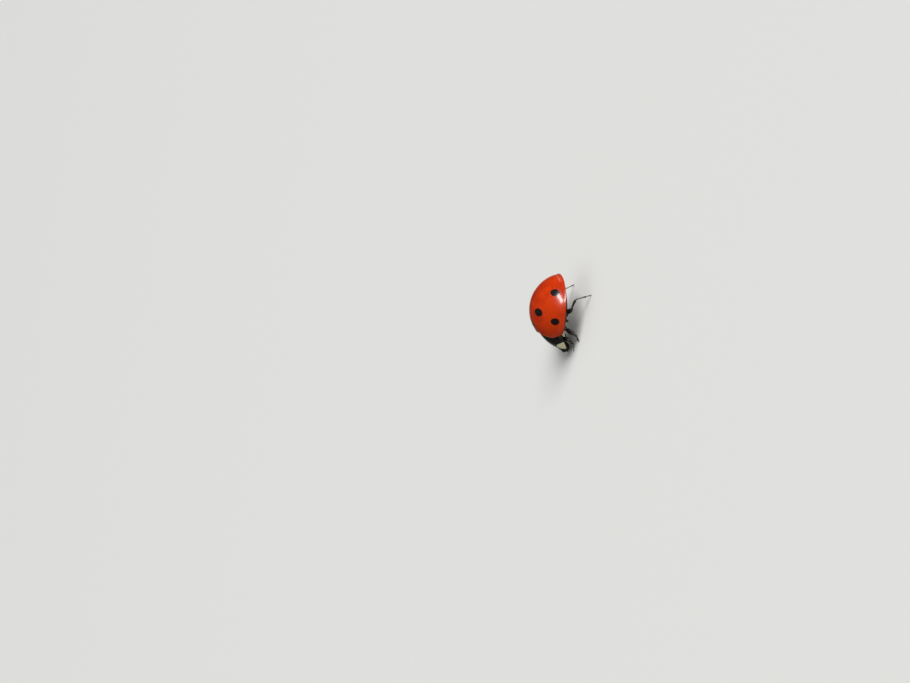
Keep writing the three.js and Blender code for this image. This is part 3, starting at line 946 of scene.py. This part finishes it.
def head_relief(co):
    """How far the head stands out at a point of the capsule's own frame."""
    across = abs(co.x)
    even = Vector((across, co.y, co.z))
    upper = smooth_step(0.0, 0.2, co.z)
    features = {
        "hollow": ridge(across, 0.4) * ridge(co.y + 0.12, 0.26) * upper,
        "suture": ridge(co.y + 0.39 - 0.3 * across ** 2, 0.03) * smooth_step(0.62, 0.5, across) * upper,
        "shelf": ridge(co.y + 0.5, 0.06) * smooth_step(0.58, 0.46, across) * upper,
        "socket": ridge((even - FEELER_SOCKET).length, 0.085),
        "brow": ridge((even - BROW).length, 0.1),
    }
    x, y, z = CAPSULE_IN_HEAD @ even - EYE_CENTRE
    shares = (x / EYE["half_width"], y / EYE["half_length"], z / EYE["orbit_half_height"])
    apart = Vector(shares).length
    orbit = ORBIT_RISE * ridge(apart - 1.2, 0.09) - ORBIT_RISE * ridge(apart - 1.04, 0.05)
    return sum((HEAD_RELIEF[name] * share for name, share in features.items()), orbit)


def head_shape():
    """The head's mesh, in its own frame: a rounded box with relief and a spur on each cheek."""
    body = bpy.context.scene.ladybird_body
    bm = sphere(160, 112, "X")
    for vert in bm.verts:
        x, y, z = vert.co
        fill = box_fill(vert.co, HEAD["squareness"])
        narrow = 1 - HEAD["narrowing"] * max(0, -y) ** 3
        vert.co = Vector((body.head_half_width / MM * x * fill * narrow,
                          HEAD["half_length"] * y * fill, HEAD["half_depth"] * z * fill))
        if vert.co.y < FACE["y"]:
            vert.co.y = FACE["y"] + FACE["bulge"] * (vert.co.y - FACE["y"])
    bmesh.ops.recalc_face_normals(bm, faces=bm.faces)
    bm.normal_update()
    steps = {vert: vert.normal * head_relief(vert.co) for vert in bm.verts}
    for vert, step in steps.items():
        vert.co += step
    for side in SIDES.values():
        spur = sphere(20, 14, "X")
        spur.transform(Matrix.Diagonal((*CHEEK_SPUR["radii"], 1)))
        place = Matrix.Translation(mirror_point(CHEEK_SPUR["centre"], side))
        add_mesh(bm, spur, CAPSULE_IN_HEAD.inverted() @ place)
    bm.transform(CAPSULE_IN_HEAD)
    return bm


def head(material):
    make_piece("head_capsule", head_shape(), HEAD_FRAME, material, ["head"])


def head_material(groups):
    body = bpy.context.scene.ladybird_body
    material, tree, shader, vector, colour = shell_material(
        "Head", HEAD_FRAME, groups, body.shell, body.shell, rough=(0.26, 0.42), pits=(0.045, 0.4), coat=0.6,
        bump=0.6)
    even, _, _ = both_sides(tree, vector)
    colour = painted(tree, groups, colour, {"Vector": even, **HEAD_SPOT}, body.ivory)
    tree.links.new(colour, shader.inputs["Base Color"])
    return material


def eyes(material):
    """The two compound eyes, with a small hollow in every facet."""
    body = bpy.context.scene.ladybird_body
    radii = (EYE["half_width"], EYE["half_length"], body.eye_half_height / MM)
    for word, side in SIDES.items():
        bm = bmesh.new()
        bmesh.ops.create_icosphere(bm, subdivisions=5, radius=1)
        bmesh.ops.poke(bm, faces=bm.faces, offset=EYE["facet"])
        for vert in bm.verts:
            vert.co *= 1 - NOTCH_DEPTH * smooth_step(0.8, 1.0, vert.co.normalized().dot(EYE_NOTCH))
        bm.transform(Matrix.Diagonal((*radii, 1)))
        place = HEAD_FRAME @ Matrix.Translation(mirror_point(EYE_CENTRE, side))
        make_piece("compound_eye_" + word, bm, place, material, ["eye_" + word], sharp=math.pi)


def bezier(points, t):
    a, b, c = points
    return a * (1 - t) ** 2 + b * 2 * t * (1 - t) + c * t * t


def feelers(material):
    """The feelers: a row of joints along a curve, the last ones flattened into a club."""
    total = sum(length for length, _ in FEELER_JOINTS)
    for word, side in SIDES.items():
        path = [mirror_point(point, side) for point in FEELER_PATH]
        bm = bmesh.new()
        travelled = 0
        for number, (length, radius) in enumerate(FEELER_JOINTS):
            start = bezier(path, travelled / total)
            travelled += length
            end = bezier(path, travelled / total)
            club = number >= len(FEELER_JOINTS) - CLUB["joints"]
            reach = (end - start).length * (CLUB["overlap"] if club else JOINT_OVERLAP)
            joint = turned(reach, scaled(JOINT_PROFILE, radius), rings=12, steps=16, roundness=7)
            if club:
                joint.transform(Matrix.Diagonal((1, CLUB["flatness"], 1, 1)))
            add_mesh(bm, joint, along(start, end))
        make_piece("feeler_" + word, bm, HEAD_FRAME, material, ["antenna_" + word])


def palps(material):
    """On each side, the jaw's palp, which ends in an axe head, and the lip's small one."""
    for word, side in SIDES.items():
        root, elbow, tip = (mirror_point(point, side) for point in PALP.values())
        bm = turned((elbow - root).length * PALP_OVERLAP, PALP_STEM, rings=8, steps=12)
        bm.transform(along(root, elbow))
        axe = turned((tip - elbow).length, PALP_AXE, rings=14, steps=24, roundness=8)
        axe.transform(Matrix.Diagonal((1, AXE_FLATNESS, 1, 1)))
        add_mesh(bm, axe, along(elbow, tip, (side * 0.5, -0.6, 1)))
        inner = mirror_point(LIP_PALP["root"], side)
        lip_palp = turned(LIP_PALP["length"], LIP_PALP_RADII, rings=8, steps=10)
        add_mesh(bm, lip_palp, along(inner, inner + mirror_point(LIP_PALP["run"], side)))
        make_piece("palp_pair_" + word, bm, HEAD_FRAME, material, ["palp_" + word])


def mouth(material):
    """The upper lip over the two jaws."""
    bm = sphere(56, 36, "X")
    for vert in bm.verts:
        x, y, z = vert.co
        fill = box_fill(vert.co, LIP["squareness"])
        edge = 0.1 * x * x + 0.05 * ridge(x, 0.3) * max(0, -y)
        vert.co = Vector((LIP["half_width"] * x * fill, LIP["half_length"] * y * fill + edge,
                          LIP["half_depth"] * z * fill))
    bm.transform(LIP_PLACE)
    for side in SIDES.values():
        jaw = turned(JAW["length"], JAW_RADII, rings=14, steps=18)
        jaw.transform(Matrix.Diagonal((1, JAW["flatness"], 1, 1)))
        add_mesh(bm, jaw, along(mirror_point(JAW["root"], side), mirror_point(JAW["tip"], side)))
    make_piece("mouth_plates", bm, HEAD_FRAME, material, ["labrum"])


# ---- Legs ----

LEVEL = Vector((1, 1, 0))
COXA = {"length": 0.4, "radius": 0.29, "taper": 0.12}
LEG_RING = {"start": 0.2, "length": 0.26}  # between the coxa and the thigh
LEG_RING_RADII = [0.15, 0.2, 0.17]
THIGH_START = 0.34  # from the hip
KNEE_OVERLAP = 0.06
THIGH_PROFILE = (0.5, 0.9, 1, 0.88, 0.72)
THIGH_THICKNESS = 0.88
SHIN_PROFILE = (0.8, 0.7, 0.85, 1, 0.95)
SHIN_BOW = 0.16
FOOT_LOBES = [(0.4, 0.7, 0.3, 1), (0.24, 0.68, 0.5, 2)]  # share of the length, radius, flatness and lobes
LOBE_ROOT = 0.4
LOBE_MIDDLE = 0.66  # as a share of the lobe's end
LOBE_SPREAD = 0.55
LOBE_OVERLAP = 1.15
LAST_JOINT_PROFILE = (0.34, 0.3, 0.42, 0.5)
LAST_JOINT_OVERLAP = 0.12  # as a share of the foot
TOE_REACH = 0.1
CLAW_SPREAD = 0.5
CLAW_SPIKES = ((0.17, 0.03, 2.2), (0.085, 0.027, 1.2))  # length, radius and hook of a claw and of its tooth
CLAW_PROFILE = (1, 0.8, 0.5, 0.12)
CLAW_ROOT = 0.03  # behind the toe
CLAW_HEIGHT = 0.004  # of its lowest point above the floor


def leg_places(pair, side):
    """Hip, knee, ankle and toe in the floor's frame."""
    leg = LEGS[pair]
    stride = RIGHT_STRIDE[pair] if side < 0 else 0
    to_floor = FLOOR_FRAME.inverted() @ BODY_FRAME
    hip = to_floor @ mirror_point(leg["hip"], side)
    knee = to_floor @ mirror_point(leg["knee"], side)
    knee += (knee - hip).normalized() * leg["reach"]
    ankle = mirror_point(leg["ankle"], side) + Vector((0, stride, 0))
    toe = mirror_point(leg["toe"], side) + Vector((0, stride, 0))
    toe += ((toe - ankle) * LEVEL).normalized() * TOE_REACH
    return hip, knee, ankle, toe


def coxa(hip, knee):
    """The leg's first joint, lying level at the hip, with the ring that follows it."""
    bm = sphere(32, 24, "Z")
    for vert in bm.verts:
        vert.co.z *= COXA["radius"] * (1 - COXA["taper"] * vert.co.x)
        vert.co.x *= COXA["length"]
        vert.co.y *= COXA["radius"]
    outwards = (knee - hip) * LEVEL
    bm.transform(Matrix.Translation(hip) @ Matrix.Rotation(math.atan2(outwards.y, outwards.x), 4, "Z"))
    ring = turned(LEG_RING["length"], LEG_RING_RADII, rings=10, steps=20)
    start = hip + (knee - hip).normalized() * LEG_RING["start"]
    add_mesh(bm, ring, along(start, knee))
    return bm


def thigh(hip, knee, radius):
    forwards = (knee - hip).normalized()
    start = hip + forwards * THIGH_START
    end = knee + forwards * KNEE_OVERLAP
    bm = turned((end - start).length, scaled(THIGH_PROFILE, radius), rings=22, steps=28, roundness=4)
    bm.transform(Matrix.Diagonal((THIGH_THICKNESS, 1, 1, 1)))
    bm.transform(along(start, end))
    return bm


def shin(knee, ankle, radius):
    start = knee - (ankle - knee).normalized() * KNEE_OVERLAP
    length = (ankle - start).length
    bm = turned(length, scaled(SHIN_PROFILE, radius), rings=22, steps=20, roundness=6)
    for vert in bm.verts:
        t = vert.co.z / length
        vert.co.y += SHIN_BOW * length * t * (1 - t)
    bm.transform(along(start, ankle))
    return bm


def foot(ankle, toe, radius):
    """The foot's joints: a round one, a two-lobed one and the thin last one."""
    run = toe - ankle
    bm = bmesh.new()
    reached = 0.0
    for share, width, flat, lobes in FOOT_LOBES:
        start = ankle + run * reached
        reached += share
        end = ankle + run * reached
        length = (end - start).length
        radii = scaled((LOBE_ROOT, LOBE_MIDDLE * width, width), radius)
        for turn in (-1, 1) if lobes == 2 else (0,):
            lobe = turned(length * LOBE_OVERLAP, radii, rings=14, steps=18, roundness=4)
            for vert in lobe.verts:
                vert.co.x += turn * LOBE_SPREAD * radius * (vert.co.z / length)
                vert.co.y *= 1 - flat * smooth_step(0.2, 0.9, vert.co.z / length)
            add_mesh(bm, lobe, along(start, end))
    start = ankle + run * (reached - LAST_JOINT_OVERLAP)
    last = turned((toe - start).length, scaled(LAST_JOINT_PROFILE, radius), rings=14, steps=14)
    add_mesh(bm, last, along(start, toe))
    return bm


def claws(ankle, toe):
    """Two hooked claws, each with a smaller tooth, that all but touch the floor."""
    forwards = ((toe - ankle) * LEVEL).normalized()
    sideways = Vector((-forwards.y, forwards.x, 0))
    bm = bmesh.new()
    for turn in (-1, 1):
        heading = (forwards + sideways * turn * CLAW_SPREAD).normalized()
        for length, radius, hook in CLAW_SPIKES:
            spike = turned(length, scaled(CLAW_PROFILE, radius), rings=10, steps=10, roundness=3)
            for vert in spike.verts:
                vert.co.y -= hook * vert.co.z ** 2
            add_mesh(bm, spike, along(toe - forwards * CLAW_ROOT, toe + heading * length))
    low = min(vert.co.z for vert in bm.verts)
    bm.transform(Matrix.Translation((0, 0, CLAW_HEIGHT - low)))
    return bm


def leg_parts(pair, side):
    """The four limbs of a leg, as meshes in the floor's frame, from the hip outwards."""
    leg = bpy.context.scene.ladybird_leg
    hip, knee, ankle, toe = leg_places(pair, side)
    return {
        "coxa": coxa(hip, knee),
        "femur": thigh(hip, knee, leg.thigh_radius / MM * LEGS[pair]["bulk"]),
        "tibia": shin(knee, ankle, leg.shin_radius / MM),
        "tarsus": foot(ankle, toe, leg.foot_radius / MM),
    }


def legs(leg_shell, claw_horn):
    for pair in LEGS:
        for word, side in SIDES.items():
            name = pair + "_" + word
            for part, bm in leg_parts(pair, side).items():
                node = part + "_" + name
                make_piece("leg_" + node, bm, FLOOR_FRAME, leg_shell, [node])
            _, _, ankle, toe = leg_places(pair, side)
            make_piece("claws_" + name, claws(ankle, toe), FLOOR_FRAME, claw_horn)


# ---- Hairs ----

HAIR_SINK = 0.006  # of a hair's root in the surface
HAIR_RADIUS = {"leg": 0.0036, "down": 0.0032}
HAIR_TIP = 0.15  # its radius, as a share of the root's
HAIR_UP = (0.31, 0.23, 0.92)  # slanted, so that few hairs lie along it
HAIR_CLEARANCE = 0.012  # from a hair's tip to the floor
PATCH_SIZE = 0.003  # of each hair's place in the unwrapping
PATCH_CORNERS = ((0, 0), (PATCH_SIZE, 0), (PATCH_SIZE / 2, PATCH_SIZE), (0, PATCH_SIZE))
# The places at each limb's ends, as leg_places counts them, and its share of the leg's hairs.
LIMB_HAIRS = {"femur": (0, 1, 0.26), "tibia": (1, 2, 0.38), "tarsus": (2, 3, 0.36)}


def add_hair(bm, layer, root, direction, length, radius, patch):
    """A thin three-sided spike, unwrapped onto a small patch at its root's place."""
    half = direction.normalized() * length / 2
    place = along(root, root + half, HAIR_UP) @ Matrix.Translation((0, 0, length / 2))
    made = bmesh.ops.create_cone(bm, cap_ends=True, segments=3, radius1=radius, radius2=radius * HAIR_TIP,
                                 depth=length, matrix=place)
    for face in {f for v in made["verts"] for f in v.link_faces}:
        for corner, loop in enumerate(face.loops):
            shift = PATCH_CORNERS[corner % len(PATCH_CORNERS)]
            loop[layer].uv = (patch[0] + shift[0], patch[1] + shift[1])


def turn_share(y, x):
    """The share of a full turn at a point round an axis."""
    return math.atan2(y, x) / (2 * math.pi) + 0.5


def leg_hairs(material):
    """Short hairs on the thighs, shins and feet, leaning towards the toes."""
    leg = bpy.context.scene.ladybird_leg
    rng = random.Random(7)
    for pair in LEGS:
        for word, side in SIDES.items():
            places = leg_places(pair, side)
            parts = leg_parts(pair, side)
            bm = bmesh.new()
            layer = bm.loops.layers.uv.new("OFBake")
            for number, (part, (first, last, share)) in enumerate(LIMB_HAIRS.items()):
                into_limb = along(places[first], places[last]).inverted()
                limb = places[last] - places[first]
                for root, out in scatter(rng, parts[part], int(leg.hairs_per_leg * share)):
                    lean = limb.normalized() + out * rng.uniform(0.35, 0.75)
                    length = leg.hair_length / MM * rng.uniform(0.6, 1.15)
                    if root.z + lean.normalized().z * length < HAIR_CLEARANCE:
                        continue
                    local = into_limb @ root
                    reached = min(1, max(0, local.z / limb.length))
                    patch = (0.33 * number + 0.3 * reached, 0.95 * turn_share(local.y, local.x))
                    add_hair(bm, layer, root - out * HAIR_SINK, lean, length, HAIR_RADIUS["leg"], patch)
            for part in parts.values():
                part.free()
            make_piece("leg_hairs_" + pair + "_" + word, bm, FLOOR_FRAME, material, sharp=math.pi)


def down_of(name, source, place, material, keep, count, length, lean, seed):
    """A thin down of short hairs over the kept part of a mesh, unwrapped round the mesh's length."""
    rng = random.Random(seed)
    bm = bmesh.new()
    layer = bm.loops.layers.uv.new("OFBake")
    for root, out in scatter(rng, source, count, keep):
        patch = (0.95 * turn_share(root.x, -root.z), min(0.95, max(0.02, (root.y + 1) / 8)))
        drift = Vector((rng.uniform(-0.3, 0.3), rng.uniform(-0.2, 0.2), 0))
        hair_length = length * rng.uniform(0.6, 1.2)
        direction = out * 0.5 + lean + drift
        add_hair(bm, layer, root - out * HAIR_SINK, direction, hair_length, HAIR_RADIUS["down"], patch)
    source.free()
    make_piece(name, bm, place, material, sharp=math.pi)


def on_belly(face):
    middle = face.calc_center_median()
    return middle.z < -0.12 and middle.y > 0.3


def on_face(face):
    middle = face.calc_center_median()
    return middle.y < -0.26 and abs(middle.x) < 0.62


def body_hairs(material):
    belly = sphere(96, 72, "Y")
    belly_dome().shape(belly)
    bmesh.ops.recalc_face_normals(belly, faces=belly.faces)
    down_of("belly_down", belly, BODY_FRAME, material, on_belly,
            count=1400, length=0.13, lean=Vector((0, 1, 0)), seed=11)
    down_of("face_down", head_shape(), HEAD_FRAME, material, on_face,
            count=170, length=0.06, lean=Vector((0, -1, -0.3)), seed=12)


# ---- Materials for the small pieces ----


def build_materials():
    scene = bpy.context.scene
    body, leg = scene.ladybird_body, scene.ladybird_leg
    groups = {"pits": pits_group(), "spot": spot_group(), "mottle": mottle_group()}
    built = {
        "case": case_material(groups),
        "shield": shield_material(groups),
        "head": head_material(groups),
    }
    # Name, frame, light and dark colour, roughness, pits, coat, bump and cloud size.
    plain = {
        "shell": ("Black shell", BODY_FRAME, body.shell, body.shell,
                  (0.22, 0.36), (0.07, 0.36), 1.0, 0.4, 1.2),
        "underside": ("Belly", BODY_FRAME, body.underside, (0.008, 0.006, 0.006, 1),
                      (0.3, 0.5), (0.08, 0.4), 0.5, 0.6, 1.2),
        "wing": ("Folded wing", BODY_FRAME, (0.10, 0.045, 0.016, 1), (0.03, 0.014, 0.007, 1),
                 (0.35, 0.5), (0.12, 0.3), 0.3, 0.4, 0.4),
        "ivory": ("Side plate", BODY_FRAME, body.ivory, (0.6, 0.54, 0.36, 1),
                  (0.35, 0.5), (0.07, 0.34), 0.4, 0.4, 0.5),
        "eye": ("Eye", HEAD_FRAME, (0.006, 0.006, 0.006, 1), (0.014, 0.011, 0.009, 1),
                (0.24, 0.34), (0.05, 0.2), 0.5, 0.05, 1.2),
        "horn": ("Feeler", HEAD_FRAME, body.horn, (0.05, 0.024, 0.010, 1),
                 (0.3, 0.5), (0.03, 0.4), 0.5, 0.4, 0.3),
        "mouth": ("Mouth", HEAD_FRAME, (0.035, 0.018, 0.010, 1), (0.012, 0.008, 0.007, 1),
                  (0.3, 0.5), (0.03, 0.4), 0.5, 0.4, 0.3),
        "leg": ("Leg", FLOOR_FRAME, leg.leg_black, (0.022, 0.014, 0.010, 1),
                (0.26, 0.42), (0.04, 0.36), 0.8, 0.5, 0.6),
        "claw": ("Claw", FLOOR_FRAME, leg.claw, (0.06, 0.03, 0.012, 1),
                 (0.25, 0.4), (0.03, 0.3), 0.8, 0.4, 0.2),
        "hair": ("Hair", FLOOR_FRAME, leg.hair, (0.42, 0.33, 0.2, 1),
                 (0.4, 0.6), (0.02, 0.3), 0.2, 0.0, 0.3),
    }
    for part, (name, place, *finish) in plain.items():
        built[part] = shell_material(name, place, groups, *finish)[0]
    return built


def material(name):
    """A material by its plain name, built with all the others on first use."""
    if "Wing case" not in bpy.data.materials:
        for key, built in build_materials().items():
            built["part"] = key
    return next(m for m in bpy.data.materials if m.get("part") == name)


# ---- Stage ----

FLOOR_IN_GLOSS = (0.3, 0.32, 0.24, 1)  # a darker floor in the shells' reflections, as over leaves
FLOOR_RADIUS = 3.0  # in metres
BACKDROP = (0.737, 0.743, 0.722, 1)
FILL = {"Color": (0.95, 0.97, 1.0, 1), "Strength": 0.3}
SKY_LOW = (0.035, 0.042, 0.03, 1)
SKY_HIGH = (0.11, 0.12, 0.12, 1)
LIGHT_TARGET = Vector((0, 0, 2 * MM))


def floor_material(colour):
    made = bpy.data.materials.new("Floor")
    made.use_nodes = True
    tree = made.node_tree
    shader = tree.nodes["Principled BSDF"]
    coords = put(tree, "ShaderNodeTexCoord").outputs["Object"]
    grain = put(tree, "ShaderNodeTexNoise", {"Vector": coords, "Scale": 900.0, "Detail": 4.0})
    heights = {"Height": grain.outputs["Fac"], "Strength": 0.15, "Distance": 0.05 * MM}
    relief = put(tree, "ShaderNodeBump", heights)
    tree.links.new(relief.outputs["Normal"], shader.inputs["Normal"])
    rays = put(tree, "ShaderNodeLightPath")
    tone = blend(tree, rays.outputs["Is Glossy Ray"], colour, FLOOR_IN_GLOSS)
    tree.links.new(tone, shader.inputs["Base Color"])
    shader.inputs["Roughness"].default_value = 0.75
    shader.inputs["Specular IOR Level"].default_value = 0.2
    return made


def build_floor(stage):
    bm = bmesh.new()
    bmesh.ops.create_circle(bm, cap_ends=True, segments=96, radius=FLOOR_RADIUS)
    bmesh.ops.recalc_face_normals(bm, faces=bm.faces)
    mesh = bpy.data.meshes.new("floor")
    bm.to_mesh(mesh)
    bm.free()
    if mesh.polygons[0].normal.z < 0:
        mesh.flip_normals()
    mesh.materials.append(floor_material(stage.floor))
    floor = bpy.data.objects.new("floor", mesh)
    show(floor)


def heading(azimuth, elevation):
    """The direction at an azimuth and elevation, as the other views count them."""
    level = math.cos(elevation)
    return Vector((math.sin(azimuth) * level, -math.cos(azimuth) * level, math.sin(elevation)))


def build_camera(stage):
    camera = bpy.data.objects.new("camera", bpy.data.cameras.new("camera"))
    camera.data.lens = stage.lens
    camera.data.sensor_width = 36.0
    camera.data.clip_start = 0.001
    camera.data.clip_end = 10.0
    origin = BODY_FRAME.translation * MM
    camera.location = origin + heading(stage.azimuth, stage.elevation) * stage.distance
    axis = (Vector(stage.aim) - camera.location).normalized()
    facing = axis.to_track_quat("-Z", "Y").to_matrix() @ Matrix.Rotation(stage.roll, 3, "Z")
    camera.matrix_world = Matrix.Translation(camera.location) @ facing.to_4x4()
    show(camera)
    bpy.context.scene.camera = camera


def add_light(name, kind, azimuth, elevation, power, distance=0.5, size=(0.1, 0.1), spread=30.0, turn=0.0,
              shines=True, colours=True):
    """A light that faces the model from a heading: a panel, turned about its own axis, or a sun."""
    data = bpy.data.lights.new(name, kind)
    if kind == "SUN":
        data.angle = math.radians(spread)
    else:
        data.shape = "RECTANGLE"
        data.size, data.size_y = size
    data.energy = power
    light = bpy.data.objects.new(name, data)
    away = heading(math.radians(azimuth), math.radians(elevation))
    facing = (-away).to_track_quat("-Z", "Y").to_matrix() @ Matrix.Rotation(math.radians(turn), 3, "Z")
    light.matrix_world = Matrix.Translation(LIGHT_TARGET + away * distance) @ facing.to_4x4()
    light.visible_camera = False
    light.visible_glossy = shines
    light.visible_diffuse = colours
    show(light)


def build_world():
    """A pale backdrop to the camera, an even fill for the colours and a dim sky for the gloss."""
    world = bpy.data.worlds.new("studio")
    bpy.context.scene.world = world
    world.use_nodes = True
    world.cycles.sampling_method = "NONE"
    tree = world.node_tree
    tree.nodes.clear()
    rays = put(tree, "ShaderNodeLightPath")
    coords = put(tree, "ShaderNodeTexCoord").outputs["Generated"]
    up = put(tree, "ShaderNodeSeparateXYZ", {0: coords}).outputs["Z"]
    sky = blend(tree, ramp(tree, up, -0.05, 0.95), SKY_LOW, SKY_HIGH)
    chosen = put(tree, "ShaderNodeBackground", FILL).outputs[0]
    for kind, colour in (("Is Glossy Ray", sky), ("Is Camera Ray", BACKDROP)):
        shown = put(tree, "ShaderNodeBackground", {"Color": colour, "Strength": 1.0}).outputs[0]
        chosen = put(tree, "ShaderNodeMixShader", {0: rays.outputs[kind], 1: chosen, 2: shown}).outputs[0]
    put(tree, "ShaderNodeOutputWorld", {"Surface": chosen})


# ---- Operators ----


class LADYBIRD_OT_wing_cases(bpy.types.Operator):
    """Make the two spotted wing cases, the scutellum between them and the wings under them"""

    bl_idname = "ladybird.wing_cases"
    bl_label = "Wing Cases"

    def execute(self, context):
        for side in SIDES.values():
            wing_case(side, material("case"))
        scutellum(material("shell"))
        folded_wings(material("wing"))
        return {"FINISHED"}


class LADYBIRD_OT_pronotum(bpy.types.Operator):
    """Make the pronotum and the plate under it"""

    bl_idname = "ladybird.pronotum"
    bl_label = "Pronotum"

    def execute(self, context):
        pronotum(material("shield"))
        prosternum(material("underside"))
        return {"FINISHED"}


class LADYBIRD_OT_trunk(bpy.types.Operator):
    """Make the thorax, the abdomen and the pale side plates"""

    bl_idname = "ladybird.trunk"
    bl_label = "Trunk"

    def execute(self, context):
        thorax(material("underside"))
        abdomen(material("underside"))
        side_plates(material("ivory"))
        return {"FINISHED"}


class LADYBIRD_OT_head(bpy.types.Operator):
    """Make the head with its eyes, feelers, palps and mouth"""

    bl_idname = "ladybird.head"
    bl_label = "Head"

    def execute(self, context):
        head(material("head"))
        eyes(material("eye"))
        feelers(material("horn"))
        palps(material("mouth"))
        mouth(material("mouth"))
        return {"FINISHED"}


class LADYBIRD_OT_legs(bpy.types.Operator):
    """Make the six legs with their claws"""

    bl_idname = "ladybird.legs"
    bl_label = "Legs"

    def execute(self, context):
        legs(material("leg"), material("claw"))
        return {"FINISHED"}


class LADYBIRD_OT_hairs(bpy.types.Operator):
    """Make the short hairs on the legs, the belly and the face"""

    bl_idname = "ladybird.hairs"
    bl_label = "Hairs"

    def execute(self, context):
        leg_hairs(material("hair"))
        body_hairs(material("hair"))
        return {"FINISHED"}


class LADYBIRD_OT_stage(bpy.types.Operator):
    """Make the floor, the lights, the backdrop and the camera"""

    bl_idname = "ladybird.stage"
    bl_label = "Stage"

    def execute(self, context):
        stage = context.scene.ladybird_stage
        build_floor(stage)
        build_camera(stage)
        build_world()
        add_light("glint", "AREA", 126, 16, 3.0 * stage.key, 1.2, (0.78, 0.26), turn=45, colours=False)
        add_light("rim", "AREA", -152, 3, 0.25 * stage.key, 1.5, (0.9, 0.2), colours=False)
        add_light("top", "AREA", 20, 72, 0.15 * stage.key, 1.8, (1.5, 1.5), shines=False)
        add_light("base", "SUN", 155, 38, 3.2, spread=40, shines=False)
        context.scene.view_settings.view_transform = "Standard"
        return {"FINISHED"}


class LADYBIRD_PT_panel(bpy.types.Panel):
    """Lists the steps that make the ladybird"""

    bl_idname = "LADYBIRD_PT_panel"
    bl_label = "Ladybird"
    bl_space_type = "VIEW_3D"
    bl_region_type = "UI"
    bl_category = "Ladybird"

    def draw(self, context):
        for operator in OPERATORS:
            self.layout.operator(operator.bl_idname)
        for name in SETTINGS:
            box = self.layout.box()
            group = getattr(context.scene, name)
            for key in group.__annotations__:
                box.prop(group, key)


OPERATORS = (
    LADYBIRD_OT_wing_cases,
    LADYBIRD_OT_pronotum,
    LADYBIRD_OT_trunk,
    LADYBIRD_OT_head,
    LADYBIRD_OT_legs,
    LADYBIRD_OT_hairs,
    LADYBIRD_OT_stage,
)
SETTINGS = {
    "ladybird_case": LadybirdCaseSettings,
    "ladybird_body": LadybirdBodySettings,
    "ladybird_leg": LadybirdLegSettings,
    "ladybird_stage": LadybirdStageSettings,
}


def register():
    for name, group in SETTINGS.items():
        bpy.utils.register_class(group)
        setattr(bpy.types.Scene, name, PointerProperty(type=group))
    for cls in (*OPERATORS, LADYBIRD_PT_panel):
        bpy.utils.register_class(cls)


def unregister():
    for cls in (LADYBIRD_PT_panel, *reversed(OPERATORS)):
        bpy.utils.unregister_class(cls)
    for name, group in SETTINGS.items():
        delattr(bpy.types.Scene, name)
        bpy.utils.unregister_class(group)


def main():
    register()
    bpy.ops.ladybird.wing_cases()
    bpy.ops.ladybird.pronotum()
    bpy.ops.ladybird.trunk()
    bpy.ops.ladybird.head()
    bpy.ops.ladybird.legs()
    bpy.ops.ladybird.hairs()
    bpy.ops.ladybird.stage()


if __name__ == "__main__":
    main()
